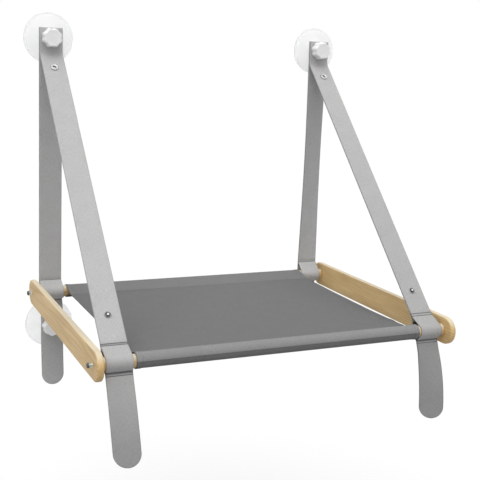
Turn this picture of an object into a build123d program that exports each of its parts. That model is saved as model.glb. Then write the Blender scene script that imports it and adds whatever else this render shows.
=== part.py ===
import math
import os

from build123d import *

os.makedirs("parts", exist_ok=True)

# Window perch for a cat: a cloth tray that hangs on fabric straps from four suction cups.
# Millimetres. The window glass is the plane y = 0 and the room lies towards -Y.
# z = 0 is the level of the upper cups, x = 0 is midway between left and right.

# Straps
strap_x = 260.0
strap_width = 39.5
ply = 1.2
strap_thickness = 2 * ply
strap_top = 17.0
rear_tail_below_dowel = {"left": 175.0, "right": 161.0}
rear_upper_seam = 24.0
rear_lower_seam = 16.0
sewn_flange = 7.0
tail_end_run = 24.0

# Suction cups, studs and knobs
cup_radius = 43.0
cup_height = 18.0
lip_inner_radius = 38.5
hub_radius = 14.0
lower_cup_below_dowel = 65.0
stud_radius = 3.0
stud_head_radius = 9.0
stud_head_height = 10.5
stud_head_thickness = 2.5
thread_clearance = 0.05
knob_radius = 17.0
knob_height = 17.5
knob_taper = 4.0
knob_lobes = 8
knob_bevel = 1.2
insert_radius = 5.0
insert_length = 11.0
stud_engagement = 10.5

# Tray frame
dowel_radius = 10.0
dowel_clearance = 0.4
dowel_spacing = 406.0
dowel_drop = 443.0
rail_inner_x = 286.0
rail_thickness = 10.0
rail_height = 44.5
rail_overhang = 27.0
rail_round = 2.8

# Rail bolts and the threaded inserts in the dowel ends
bolt_radius = 2.5
bolt_head_radius = 4.8
bolt_head_thickness = 3.6
bolt_standoff = 5.0
bolt_in_dowel = 17.0
dowel_insert_radius = 4.0
dowel_insert_length = 15.0

# Cloth
cloth_half_width = 236.0
cloth_thickness = 1.0
sheet_thickness = 1.6
sleeve_depth = 36.0
sheet_level = 1.5
sheet_sag = 1.0
side_curve_in = 2.0

# Snap fasteners on the front straps
snap_radius = 5.6
snap_post_radius = 1.9
upper_snap_below_cup = 50.0
lower_snap_from_dowel = 75.0
snap_cap_thickness = 1.2

# Worked-out places
strap_back_y = -cup_height
strap_front_y = strap_back_y - strap_thickness
rear_dowel_y = strap_back_y - ply - dowel_clearance - dowel_radius
front_dowel_y = rear_dowel_y - dowel_spacing
dowel_z = -dowel_drop
lower_cup_z = dowel_z - lower_cup_below_dowel
strap_bottom = {side: dowel_z - drop for side, drop in rear_tail_below_dowel.items()}
front_strap_y = strap_front_y - strap_thickness / 2
bend_z = -26.0
bend_radius = 14.0
loop_inner = dowel_radius + dowel_clearance
loop_outer = loop_inner + ply
front_dowel = Vector(0, front_dowel_y, dowel_z)
strap_kink = Vector(0, front_strap_y, bend_z)
strap_run = strap_kink - front_dowel
strap_direction = strap_run.normalized()
strap_normal = Vector(0, -strap_direction.Z, strap_direction.Y)
upper_seam = 24.0
lower_seam = 18.0
part_gap = 0.3
sides = {"left": -1, "right": 1}
cup_places = {
    "upper_left": (-strap_x, 0.0, strap_front_y - strap_thickness),
    "upper_right": (strap_x, 0.0, strap_front_y - strap_thickness),
    "lower_left": (-strap_x, lower_cup_z, strap_front_y),
    "lower_right": (strap_x, lower_cup_z, strap_front_y),
}


def profile_plane(origin, axis):
    """A plane that holds the axis: sketch x is the radius, sketch y runs along the axis."""
    return Plane(origin=origin, x_dir=(1, 0, 0), z_dir=Vector(1, 0, 0).cross(Vector(*axis)))


def room_plane(x, y, z):
    """A plane parallel to the glass whose normal points into the room."""
    return Plane(origin=(x, y, z), x_dir=(1, 0, 0), z_dir=(0, -1, 0))


def write(piece, name):
    piece.part.label = name
    export_step(piece.part, f"parts/{name}.step")


# Suction cup: soft PVC dish with a flat lip and a hub moulded round the stud's head.
def suction_cup(name, x, z):
    into_room = (0, -1, 0)
    pocket_radius = stud_head_radius + thread_clearance
    pocket_top = stud_head_height + stud_head_thickness + thread_clearance
    bore = stud_radius + thread_clearance
    with BuildPart() as cup:
        with BuildSketch(profile_plane((x, 0, z), into_room)):
            with BuildLine():
                Polyline((lip_inner_radius, 0), (cup_radius, 0), (cup_radius, 1.6))
                ThreePointArc((cup_radius, 1.6), (30, 5.8), (hub_radius + 2.5, 12.5))
                Polyline(
                    (hub_radius + 2.5, 12.5),
                    (hub_radius, 14.5),
                    (hub_radius, cup_height),
                    (bore, cup_height),
                    (bore, pocket_top),
                    (pocket_radius, pocket_top),
                    (pocket_radius, stud_head_height - thread_clearance),
                    (0, stud_head_height - thread_clearance),
                    (0, 7.5),
                )
                ThreePointArc((0, 7.5), (22, 4.6), (lip_inner_radius, 0))
            make_face()
        revolve(axis=Axis((x, 0, z), into_room))
    write(cup, f"suction_cup_{name}")


# Stud: round head buried in the hub, threaded shank through the straps into the knob.
def cup_stud(name, x, z, clamp_y):
    into_room = (0, -1, 0)
    tip = -clamp_y + stud_engagement
    head_top = stud_head_height + stud_head_thickness
    with BuildPart() as stud:
        with BuildSketch(profile_plane((x, 0, z), into_room)):
            with BuildLine():
                Polyline(
                    (0, stud_head_height),
                    (stud_head_radius, stud_head_height),
                    (stud_head_radius, head_top),
                    (stud_radius, head_top),
                    (stud_radius, tip - 0.8),
                    (stud_radius - 0.8, tip),
                    (0, tip),
                    close=True,
                )
            make_face()
        revolve(axis=Axis((x, 0, z), into_room))
    write(stud, f"cup_stud_{name}")


# Threaded insert of the knob: the collar that runs on the stud's thread.
def knob_insert(name, x, z, clamp_y):
    base = room_plane(x, clamp_y - part_gap, z)
    with BuildPart() as insert:
        with BuildSketch(base):
            Circle(insert_radius)
            Circle(stud_radius + thread_clearance, mode=Mode.SUBTRACT)
        extrude(amount=insert_length)
    write(insert, f"knob_insert_{name}")


# Knob: lobed, tapered hand nut with a bevelled face edge and a blind bore for the insert.
def knob(name, x, z, clamp_y):
    base = room_plane(x, clamp_y - part_gap / 2, z)
    shoulder = knob_height - knob_bevel
    shoulder_radius = knob_radius - shoulder * math.tan(math.radians(knob_taper))
    face_radius = shoulder_radius - knob_bevel
    sections = ((0, knob_radius), (shoulder, shoulder_radius), (knob_height, face_radius))
    with BuildPart() as hand_nut:
        for height, radius in sections:
            with BuildSketch(base.offset(height)):
                add_lobes(radius)
        loft(ruled=True)
        with BuildSketch(base):
            Circle(insert_radius + thread_clearance)
        extrude(amount=insert_length + 2 * part_gap, mode=Mode.SUBTRACT)
    write(hand_nut, f"knob_{name}")


def add_lobes(radius):
    """A round outline with shallow finger scallops, on the sketch being built."""
    scallop = 0.38 * radius
    depth = 0.08 * radius
    half_lobe = 180 / knob_lobes
    Circle(radius)
    with PolarLocations(radius + scallop - depth, knob_lobes, start_angle=half_lobe):
        Circle(scallop, mode=Mode.SUBTRACT)


# Rear strap, back ply: one straight strip from the upper cup to the round tail end.
def rear_strap_back(side, sign):
    x = sign * strap_x
    bottom = strap_bottom[side]
    length = strap_top - bottom
    with BuildPart() as strip:
        with BuildSketch(room_plane(x, strap_back_y, 0)):
            with Locations((0, strap_top - (length - strap_width / 2) / 2)):
                Rectangle(strap_width, length - strap_width / 2)
            with Locations((0, bottom + strap_width / 2)):
                Circle(strap_width / 2)
            with Locations((0, 0), (0, lower_cup_z)):
                Circle(stud_radius + part_gap, mode=Mode.SUBTRACT)
        extrude(amount=ply)
    write(strip, f"rear_strap_back_{side}")


# Rear strap, face ply: follows the back ply and tents out over the front of the dowel.
def rear_strap_face(side, sign):
    x = sign * strap_x
    bottom = strap_bottom[side]
    ply_back_y = strap_back_y - ply
    loop_height = rear_upper_seam + rear_lower_seam
    loop_middle = dowel_z + (rear_upper_seam - rear_lower_seam) / 2
    with BuildPart() as strip:
        with BuildSketch(Plane.YZ.offset(x)):
            with BuildSketch(mode=Mode.PRIVATE) as outer:
                with Locations((rear_dowel_y, dowel_z)):
                    Circle(loop_outer)
                with Locations((ply_back_y - ply / 2, loop_middle)):
                    Rectangle(ply, loop_height)
                make_hull()
            with BuildSketch(mode=Mode.PRIVATE) as inner:
                with Locations((rear_dowel_y, dowel_z)):
                    Circle(loop_inner)
                with Locations((ply_back_y - 0.05, loop_middle)):
                    Rectangle(0.1, loop_height - 6)
                make_hull()
            add(outer.sketch)
            with Locations((ply_back_y - ply / 2, (strap_top + bottom) / 2)):
                Rectangle(ply, strap_top - bottom)
            add(inner.sketch, mode=Mode.SUBTRACT)
            with Locations((ply_back_y + 10, dowel_z)):
                Rectangle(20, 80, mode=Mode.SUBTRACT)
        extrude(amount=strap_width / 2, both=True)
        with BuildSketch(room_plane(x, 0, bottom + strap_width / 2)):
            with Locations((0, -strap_width / 2)):
                Rectangle(2 * strap_width, strap_width)
            Circle(strap_width / 2, mode=Mode.SUBTRACT)
        extrude(amount=60, mode=Mode.SUBTRACT)
        with BuildSketch(room_plane(x, 0, 0)):
            with Locations((0, 0), (0, lower_cup_z)):
                Circle(stud_radius + part_gap)
        extrude(amount=60, mode=Mode.SUBTRACT)
    write(strip, f"rear_strap_face_{side}")


# Front strap: clamped over the rear strap, bends under the knob and runs down to the loop.
def front_strap(side, sign):
    x = sign * strap_x
    end = front_dowel + strap_direction * (upper_seam + sewn_flange + part_gap)
    snaps = [snap_place(sign, "upper"), snap_place(sign, "lower")]
    with BuildPart() as strap:
        with BuildSketch(Plane.YZ.offset(x)):
            with BuildLine():
                FilletPolyline(
                    (front_strap_y, strap_top),
                    (front_strap_y, bend_z),
                    (end.Y, end.Z),
                    radius=bend_radius,
                )
            trace(line_width=strap_thickness)
        extrude(amount=strap_width / 2, both=True)
        with BuildSketch(room_plane(x, 0, 0)):
            Circle(stud_radius + part_gap)
        extrude(amount=60, mode=Mode.SUBTRACT)
        for place in snaps:
            with BuildSketch(Plane(origin=place, x_dir=(1, 0, 0), z_dir=strap_normal)):
                Circle(snap_post_radius + part_gap)
            extrude(amount=2 * strap_thickness, both=True, mode=Mode.SUBTRACT)
    write(strap, f"front_strap_{side}")


def snap_place(sign, which):
    """The point on the front strap's middle surface where a snap fastener sits."""
    if which == "upper":
        run = (-upper_snap_below_cup - front_dowel.Z) / strap_direction.Z
    else:
        run = lower_snap_from_dowel
    place = front_dowel + strap_direction * run
    return (sign * strap_x, place.Y, place.Z)


# Front loop: two plies sewn above and below the dowel, open as a teardrop round it.
def front_loop(side, sign, lean):
    x = sign * strap_x
    down = Vector(0, -math.sin(math.radians(lean)), -math.cos(math.radians(lean)))
    with BuildPart() as loop:
        with BuildSketch(Plane.YZ.offset(x)):
            add_teardrops(loop_outer, strap_thickness, down, 0.0)
            for direction, seam in ((strap_direction, upper_seam), (down, lower_seam)):
                middle = front_dowel + direction * (seam + sewn_flange / 2)
                turn = math.degrees(math.atan2(direction.Z, direction.Y))
                with Locations(Location((middle.Y, middle.Z), turn)):
                    Rectangle(sewn_flange, strap_thickness)
            add_teardrops(loop_inner, 0.2, down, 3.0, Mode.SUBTRACT)
        extrude(amount=strap_width / 2, both=True)
    write(loop, f"front_loop_{side}")


def add_teardrops(radius, tip_width, down, inset, mode=Mode.ADD):
    """A teardrop round the front dowel towards each seam, on the sketch being built."""
    for direction, seam in ((strap_direction, upper_seam), (down, lower_seam)):
        tip = front_dowel + direction * (seam - inset)
        turn = math.degrees(math.atan2(direction.Z, direction.Y))
        with BuildSketch(mode=Mode.PRIVATE) as drop:
            with Locations((front_dowel_y, dowel_z)):
                Circle(radius)
            with Locations(Location((tip.Y, tip.Z), turn)):
                Rectangle(0.2, tip_width)
            make_hull()
        add(drop.sketch, mode=mode)


# Front tail: the free strap end below the loop. It leans into the room, hangs straighter
# further down, and ends in a straight run with a round end.
def front_tail(side, sign, lean, end_lean, length):
    x = sign * strap_x
    pivot = tail_pivot(lean)
    with BuildPart() as tail:
        with BuildSketch(Plane.YZ.offset(x)):
            with BuildLine():
                curve = JernArc(
                    start=(pivot.Y, pivot.Z),
                    tangent=(-math.sin(math.radians(lean)), -math.cos(math.radians(lean))),
                    radius=(length - tail_end_run) / math.radians(lean - end_lean),
                    arc_size=lean - end_lean,
                )
                Line(curve @ 1, curve @ 1 + (curve % 1) * tail_end_run)
            trace(line_width=strap_thickness)
            with Locations((pivot.Y, pivot.Z)):
                Circle(strap_thickness / 2)
        extrude(amount=strap_width / 2, both=True)
        low = tail.part.bounding_box().min.Z
        with BuildSketch(room_plane(x, 0, low + strap_width / 2)):
            with Locations((0, -strap_width / 2)):
                Rectangle(2 * strap_width, strap_width)
            Circle(strap_width / 2, mode=Mode.SUBTRACT)
        extrude(amount=600, mode=Mode.SUBTRACT)
    write(tail, f"front_tail_{side}")


def tail_pivot(lean):
    """The middle of the fabric where the tail bends, just below the loop's lower flange."""
    down = Vector(0, -math.sin(math.radians(lean)), -math.cos(math.radians(lean)))
    return front_dowel + down * (lower_seam + sewn_flange + part_gap + strap_thickness / 2)


# Snap fasteners: a socket below the upper knob, a stud above the lower loop, each riveted
# through the strap to a domed cap on the back.
def snap_socket(side, sign):
    place = snap_place(sign, "upper")
    face = strap_thickness / 2 + 0.05
    with BuildPart() as socket:
        with BuildSketch(profile_plane(place, strap_normal)):
            with BuildLine():
                Polyline(
                    (2.1, face),
                    (snap_radius, face),
                    (snap_radius, face + 1.0),
                    (4.9, face + 1.9),
                    (3.4, face + 1.9),
                    (2.1, face + 1.3),
                    close=True,
                )
            make_face()
        revolve(axis=Axis(place, strap_normal))
    write(socket, f"snap_socket_{side}")


def snap_stud(side, sign):
    place = snap_place(sign, "lower")
    face = strap_thickness / 2 + 0.05
    with BuildPart() as stud:
        with BuildSketch(profile_plane(place, strap_normal)):
            with BuildLine():
                Polyline(
                    (0, face),
                    (snap_radius, face),
                    (snap_radius, face + 0.7),
                    (4.8, face + 1.2),
                    (3.6, face + 0.8),
                    (2.0, face + 0.8),
                    (2.3, face + 2.2),
                    (1.9, face + 2.9),
                    (1.2, face + 3.2),
                    (0, face + 3.2),
                    close=True,
                )
            make_face()
        revolve(axis=Axis(place, strap_normal))
    write(stud, f"snap_stud_{side}")


def snap_cap(node, place):
    back = -strap_thickness / 2 - 0.05
    with BuildPart() as cap:
        with BuildSketch(profile_plane(place, strap_normal)):
            with BuildLine():
                Polyline((snap_radius, back), (snap_post_radius, back))
                Polyline((snap_post_radius, back), (snap_post_radius, -back - 0.1), (0, -back - 0.1))
                Line((0, -back - 0.1), (0, back - snap_cap_thickness))
                ThreePointArc(
                    (0, back - snap_cap_thickness),
                    (3.6, back - 0.8 * snap_cap_thickness),
                    (snap_radius, back),
                )
            make_face()
        revolve(axis=Axis(place, strap_normal))
    write(cap, node)


# Side rail: pine board on edge with half-round ends and soft edges, drilled for two bolts.
def rail(side, sign):
    length = dowel_spacing + 2 * rail_overhang
    middle_y = (rear_dowel_y + front_dowel_y) / 2
    with BuildPart() as board:
        with BuildSketch(Plane.YZ.offset(sign * (rail_inner_x + rail_thickness / 2))):
            with Locations((middle_y, dowel_z)):
                SlotOverall(length, rail_height)
        extrude(amount=rail_thickness / 2, both=True)
        fillet(board.faces().group_by(Axis.X)[0].edges(), radius=rail_round)
        fillet(board.faces().group_by(Axis.X)[-1].edges(), radius=rail_round)
        with BuildSketch(Plane.YZ.offset(sign * rail_inner_x)):
            with Locations((rear_dowel_y, dowel_z), (front_dowel_y, dowel_z)):
                Circle(bolt_radius + part_gap)
        extrude(amount=2 * rail_thickness, both=True, mode=Mode.SUBTRACT)
    write(board, f"rail_{side}")


# Dowel: round bar between the rails, bored at each end for a threaded insert and the bolt.
def dowel(name, y):
    with BuildPart() as bar:
        with BuildSketch(Plane.YZ):
            with Locations((y, dowel_z)):
                Circle(dowel_radius)
        extrude(amount=rail_inner_x, both=True)
        chamfer(bar.edges().filter_by(GeomType.CIRCLE), length=0.6)
        for sign in sides.values():
            with BuildSketch(Plane.YZ.offset(sign * rail_inner_x)):
                with Locations((y, dowel_z)):
                    Circle(dowel_insert_radius + thread_clearance)
            extrude(amount=-sign * (dowel_insert_length + part_gap), mode=Mode.SUBTRACT)
            with BuildSketch(Plane.YZ.offset(sign * rail_inner_x)):
                with Locations((y, dowel_z)):
                    Circle(bolt_radius + part_gap)
            extrude(amount=-sign * (bolt_in_dowel + 2), mode=Mode.SUBTRACT)
    write(bar, f"{name}_dowel")


def dowel_insert(name, side, sign, y):
    with BuildPart() as insert:
        with BuildSketch(Plane.YZ.offset(sign * rail_inner_x)):
            with Locations((y, dowel_z)):
                Circle(dowel_insert_radius)
                Circle(bolt_radius + thread_clearance, mode=Mode.SUBTRACT)
        extrude(amount=-sign * dowel_insert_length)
    write(insert, f"dowel_insert_{name}_{side}")


# Rail bolt: pan head standing off the rail, with a cross recess.
def rail_bolt(name, side, sign, y):
    rail_outer_x = rail_inner_x + rail_thickness
    under_head = rail_outer_x + bolt_standoff
    head_top = under_head + bolt_head_thickness
    tip = rail_inner_x - bolt_in_dowel
    with BuildPart() as bolt:
        with BuildSketch(Plane.XY.offset(dowel_z)):
            with BuildLine():
                Polyline(
                    (sign * tip, y),
                    (sign * tip, y + bolt_radius - 0.6),
                    (sign * (tip + 0.6), y + bolt_radius),
                    (sign * under_head, y + bolt_radius),
                    (sign * under_head, y + bolt_head_radius),
                    (sign * (under_head + 1.8), y + bolt_head_radius),
                    (sign * (head_top - 0.5), y + 4.0),
                    (sign * head_top, y + 2.6),
                    (sign * head_top, y),
                    close=True,
                )
            make_face()
        revolve(axis=Axis((0, y, dowel_z), (1, 0, 0)))
        with BuildSketch(Plane.YZ.offset(sign * head_top)):
            with Locations((y, dowel_z)):
                Rectangle(4.6, 1.1)
                Rectangle(1.1, 4.6)
        extrude(amount=-sign * 1.9, mode=Mode.SUBTRACT)
    write(bolt, f"rail_bolt_{name}_{side}")


# Cloth: canvas panel with a sewn sleeve on each dowel, a slight sag and drawn-in sides.
def hammock_cloth():
    inner = dowel_radius + 0.1
    outer = inner + cloth_thickness
    rear_seam = (rear_dowel_y - sleeve_depth, dowel_z + sheet_level)
    front_seam = (front_dowel_y + sleeve_depth, dowel_z + sheet_level)
    middle_y = (rear_dowel_y + front_dowel_y) / 2
    with BuildPart() as cloth:
        with BuildSketch(Plane.YZ):
            with BuildLine():
                ThreePointArc(
                    rear_seam,
                    (middle_y, dowel_z + sheet_level - sheet_sag),
                    front_seam,
                )
            trace(line_width=sheet_thickness)
            for y, seam in ((rear_dowel_y, rear_seam), (front_dowel_y, front_seam)):
                add_sleeve(y, seam, outer, sheet_thickness, 0.0, Mode.ADD)
            for y, seam in ((rear_dowel_y, rear_seam), (front_dowel_y, front_seam)):
                add_sleeve(y, seam, inner, 0.2, 6.0, Mode.SUBTRACT)
        extrude(amount=cloth_half_width, both=True)
        for sign in sides.values():
            edge = sign * cloth_half_width
            with BuildSketch(Plane.XY.offset(dowel_z)):
                with BuildLine():
                    ThreePointArc(
                        (edge, rear_seam[0]),
                        (edge - sign * side_curve_in, middle_y),
                        (edge, front_seam[0]),
                    )
                    Line((edge, front_seam[0]), (edge, rear_seam[0]))
                make_face()
            extrude(amount=40, both=True, mode=Mode.SUBTRACT)
    write(cloth, "hammock_cloth")


def add_sleeve(y, seam, radius, tip_width, inset, mode):
    """A teardrop from the dowel to the seam, on the sketch being built."""
    towards_dowel = math.copysign(inset, y - seam[0])
    with BuildSketch(mode=Mode.PRIVATE) as sleeve:
        with Locations((y, dowel_z)):
            Circle(radius)
        with Locations((seam[0] + towards_dowel, seam[1])):
            Rectangle(0.2, tip_width)
        make_hull()
    add(sleeve.sketch, mode=mode)


tail_shapes = {"left": (25.0, 14.0, 118.0), "right": (19.0, 0.0, 117.5)}

for name, (x, z, clamp_y) in cup_places.items():
    suction_cup(name, x, z)
    cup_stud(name, x, z, clamp_y)
    knob_insert(name, x, z, clamp_y)
    knob(name, x, z, clamp_y)

for side, sign in sides.items():
    lean, end_lean, length = tail_shapes[side]
    rear_strap_back(side, sign)
    rear_strap_face(side, sign)
    front_strap(side, sign)
    front_loop(side, sign, lean)
    front_tail(side, sign, lean, end_lean, length)
    snap_socket(side, sign)
    snap_stud(side, sign)
    snap_cap(f"snap_socket_cap_{side}", snap_place(sign, "upper"))
    snap_cap(f"snap_stud_cap_{side}", snap_place(sign, "lower"))
    rail(side, sign)

for name, y in (("rear", rear_dowel_y), ("front", front_dowel_y)):
    dowel(name, y)
    for side, sign in sides.items():
        dowel_insert(name, side, sign, y)
        rail_bolt(name, side, sign, y)

hammock_cloth()
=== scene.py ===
import math

import bpy
from mathutils import Matrix, Vector, noise


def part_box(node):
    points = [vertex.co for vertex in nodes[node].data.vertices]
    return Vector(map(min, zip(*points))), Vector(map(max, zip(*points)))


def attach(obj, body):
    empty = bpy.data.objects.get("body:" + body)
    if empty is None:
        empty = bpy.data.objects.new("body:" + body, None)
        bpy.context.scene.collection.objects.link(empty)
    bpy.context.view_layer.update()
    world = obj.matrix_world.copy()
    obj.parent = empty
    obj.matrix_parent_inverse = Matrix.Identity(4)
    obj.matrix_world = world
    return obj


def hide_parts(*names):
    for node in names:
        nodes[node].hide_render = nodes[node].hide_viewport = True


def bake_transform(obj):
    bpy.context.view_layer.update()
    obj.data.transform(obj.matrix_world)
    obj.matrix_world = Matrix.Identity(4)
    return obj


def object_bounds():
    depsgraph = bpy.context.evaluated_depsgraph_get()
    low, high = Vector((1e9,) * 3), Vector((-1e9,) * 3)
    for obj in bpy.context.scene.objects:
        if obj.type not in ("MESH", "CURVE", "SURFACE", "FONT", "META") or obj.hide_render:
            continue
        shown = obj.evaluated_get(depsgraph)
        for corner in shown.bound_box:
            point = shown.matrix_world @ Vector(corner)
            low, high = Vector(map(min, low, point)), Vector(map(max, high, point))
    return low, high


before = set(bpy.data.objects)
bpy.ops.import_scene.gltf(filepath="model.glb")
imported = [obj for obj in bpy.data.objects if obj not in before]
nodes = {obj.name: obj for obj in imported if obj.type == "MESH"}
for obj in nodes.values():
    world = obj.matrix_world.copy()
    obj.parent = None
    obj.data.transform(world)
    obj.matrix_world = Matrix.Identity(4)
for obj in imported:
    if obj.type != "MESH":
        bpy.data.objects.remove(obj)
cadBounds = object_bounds()
print("frame loaded:", len(nodes), "nodes")

sides = {"left": -1, "right": 1}
cupPlaces = ("upper_left", "upper_right", "lower_left", "lower_right")
straps = {
    "ply": 0.0012,
    "width": 0.0395,
    "edgeRound": 0.00045,
    "columns": 10,
}


def middle(nodeName):
    low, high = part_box(nodeName)
    return (low + high) / 2


rearDowel = middle("rear_dowel")
frontDowel = middle("front_dowel")
dowelRadius = (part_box("rear_dowel")[1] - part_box("rear_dowel")[0]).z / 2
loopRadius = dowelRadius + 0.0004 + straps["ply"] / 2


# Selecting and finishing


def deselectAll():
    bpy.ops.object.select_all(action="DESELECT")


def startEdit(piece):
    deselectAll()
    piece.select_set(True)
    bpy.context.view_layer.objects.active = piece
    bpy.ops.object.mode_set(mode="EDIT")


def stopEdit():
    bpy.ops.object.mode_set(mode="OBJECT")


def pickVerts(piece, wanted):
    # selects by place in code, then returns to edit mode with those vertices picked
    bpy.ops.object.mode_set(mode="EDIT")
    bpy.ops.mesh.select_mode(type="VERT")
    bpy.ops.mesh.select_all(action="DESELECT")
    bpy.ops.object.mode_set(mode="OBJECT")
    for vert in piece.data.vertices:
        vert.select = wanted(vert.co)
    bpy.ops.object.mode_set(mode="EDIT")


def applyModifier(piece, kind, **settings):
    deselectAll()
    piece.select_set(True)
    bpy.context.view_layer.objects.active = piece
    modifier = piece.modifiers.new(kind.title(), kind)
    for key, value in settings.items():
        setattr(modifier, key, value)
    bpy.ops.object.modifier_apply(modifier=modifier.name)


def smoothShade(piece, degrees=35):
    deselectAll()
    piece.select_set(True)
    bpy.context.view_layer.objects.active = piece
    bpy.ops.object.shade_smooth_by_angle(angle=math.radians(degrees))


def settle(piece):
    # the place, turn and scale go into the mesh, so the object sits at the origin
    deselectAll()
    piece.select_set(True)
    bpy.context.view_layer.objects.active = piece
    bpy.ops.object.transform_apply(location=True, rotation=True, scale=True)


def newCopy(piece, name):
    copy = piece.copy()
    copy.data = piece.data.copy()
    copy.name = name
    copy.data.name = name
    bpy.context.scene.collection.objects.link(copy)
    return copy


def dress(piece, material, slotName, body, *replaced):
    piece.data.materials.clear()
    piece.data.materials.append(material)
    if replaced:
        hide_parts(*replaced)
    if body:
        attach(piece, body)


# Node helpers


def newMaterial(name):
    material = bpy.data.materials.new(name)
    material.use_nodes = True
    material.node_tree.nodes.clear()
    return material, material.node_tree


def addNode(tree, kind, place, **settings):
    node = tree.nodes.new("ShaderNode" + kind)
    node.location = place
    for key, value in settings.items():
        if key in node.inputs:
            node.inputs[key].default_value = value
        else:
            setattr(node, key, value)
    return node


def mathNode(tree, operation, place, first, second=None):
    node = tree.nodes.new("ShaderNodeMath")
    node.operation = operation
    node.location = place
    for socket, value in zip(node.inputs, (first, second)):
        if value is None:
            continue
        if isinstance(value, (int, float)):
            socket.default_value = value
        else:
            tree.links.new(value, socket)
    return node.outputs[0]


def ramp(tree, place, source, stops):
    node = tree.nodes.new("ShaderNodeValToRGB")
    node.location = place
    elements = node.color_ramp.elements
    for index, (position, colour) in enumerate(stops):
        element = elements[index] if index < 2 else elements.new(position)
        element.position = position
        element.color = (*colour, 1)
    tree.links.new(source, node.inputs[0])
    return node.outputs[0]


def mixColour(tree, place, factor, first, second, blend="MIX"):
    node = tree.nodes.new("ShaderNodeMix")
    node.data_type = "RGBA"
    node.blend_type = blend
    node.location = place
    for socket, value in ((node.inputs[0], factor), (node.inputs[6], first), (node.inputs[7], second)):
        if isinstance(value, (int, float)):
            socket.default_value = value
        elif isinstance(value, tuple):
            socket.default_value = (*value, 1)
        else:
            tree.links.new(value, socket)
    return node.outputs[2]


def surface(tree, **settings):
    shader = addNode(tree, "BsdfPrincipled", (900, 0), **settings)
    output = addNode(tree, "OutputMaterial", (1200, 0))
    tree.links.new(shader.outputs[0], output.inputs[0])
    return shader


def bumpInto(tree, shader, height, distance, strength=1.0):
    bump = addNode(tree, "Bump", (650, -350), Strength=strength, Distance=distance)
    tree.links.new(height, bump.inputs["Height"])
    tree.links.new(bump.outputs[0], shader.inputs["Normal"])


def newGroup(name, inputs, outputs):
    group = bpy.data.node_groups.new(name, "ShaderNodeTree")
    for label, kind, default in inputs:
        socket = group.interface.new_socket(name=label, in_out="INPUT", socket_type="NodeSocket" + kind)
        if default is not None:
            socket.default_value = default
    for label, kind in outputs:
        group.interface.new_socket(name=label, in_out="OUTPUT", socket_type="NodeSocket" + kind)
    return group, group.nodes.new("NodeGroupInput"), group.nodes.new("NodeGroupOutput")


def useGroup(tree, group, place, vector, **settings):
    node = tree.nodes.new("ShaderNodeGroup")
    node.node_tree = group
    node.location = place
    tree.links.new(vector, node.inputs["Vector"])
    for label, value in settings.items():
        node.inputs[label].default_value = value
    return node


# Shared effects


def plainWeaveGroup():
    # over and under threads of a plain weave, laid on the piece's UV map in metres
    group, given, result = newGroup(
        "plainWeave",
        [("Vector", "Vector", None), ("Threads", "Float", 1600.0)],
        [("Height", "Float"), ("Gap", "Float")],
    )
    scaled = group.nodes.new("ShaderNodeVectorMath")
    scaled.operation = "SCALE"
    group.links.new(given.outputs["Vector"], scaled.inputs[0])
    group.links.new(given.outputs["Threads"], scaled.inputs["Scale"])
    split = group.nodes.new("ShaderNodeSeparateXYZ")
    group.links.new(scaled.outputs[0], split.inputs[0])
    waves = []
    for axis in (0, 1):
        turned = mathNode(group, "MULTIPLY", (0, 0), split.outputs[axis], math.pi)
        waves.append(mathNode(group, "SINE", (0, 0), turned))
    over = mathNode(group, "MULTIPLY", (0, 0), waves[0], waves[1])
    half = mathNode(group, "MULTIPLY", (0, 0), over, 0.5)
    warpShare = mathNode(group, "ADD", (0, 0), half, 0.5)
    weftShare = mathNode(group, "SUBTRACT", (0, 0), 0.5, half)
    warp = mathNode(group, "MULTIPLY", (0, 0), mathNode(group, "ABSOLUTE", (0, 0), waves[0]), warpShare)
    weft = mathNode(group, "MULTIPLY", (0, 0), mathNode(group, "ABSOLUTE", (0, 0), waves[1]), weftShare)
    height = mathNode(group, "MAXIMUM", (0, 0), warp, weft)
    gap = mathNode(group, "SUBTRACT", (0, 0), 1.0, mathNode(group, "MULTIPLY", (0, 0), height, 1.6))
    group.links.new(height, result.inputs["Height"])
    group.links.new(gap, result.inputs["Gap"])
    return group


def melangeGroup():
    # dyed fibres mixed in the yarn: short streaks along the warp and along the weft
    group, given, result = newGroup(
        "melangeYarn",
        [("Vector", "Vector", None), ("Streak", "Float", 0.004), ("Fibre", "Float", 0.0006)],
        [("Fleck", "Float"), ("Cloud", "Float")],
    )
    layers = []
    for first, second in (("Streak", "Fibre"), ("Fibre", "Streak")):
        size = group.nodes.new("ShaderNodeCombineXYZ")
        group.links.new(given.outputs[first], size.inputs[0])
        group.links.new(given.outputs[second], size.inputs[1])
        size.inputs[2].default_value = 1.0
        divided = group.nodes.new("ShaderNodeVectorMath")
        divided.operation = "DIVIDE"
        group.links.new(given.outputs["Vector"], divided.inputs[0])
        group.links.new(size.outputs[0], divided.inputs[1])
        fleck = group.nodes.new("ShaderNodeTexNoise")
        fleck.inputs["Scale"].default_value = 1.0
        fleck.inputs["Detail"].default_value = 3.0
        fleck.inputs["Roughness"].default_value = 0.6
        group.links.new(divided.outputs[0], fleck.inputs["Vector"])
        layers.append(fleck.outputs["Fac"])
    summed = mathNode(group, "ADD", (0, 0), layers[0], layers[1])
    group.links.new(mathNode(group, "MULTIPLY", (0, 0), summed, 0.5), result.inputs["Fleck"])
    cloud = group.nodes.new("ShaderNodeTexNoise")
    cloud.inputs["Scale"].default_value = 45.0
    cloud.inputs["Detail"].default_value = 2.0
    group.links.new(given.outputs["Vector"], cloud.inputs["Vector"])
    group.links.new(cloud.outputs["Fac"], result.inputs["Cloud"])
    return group


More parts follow.
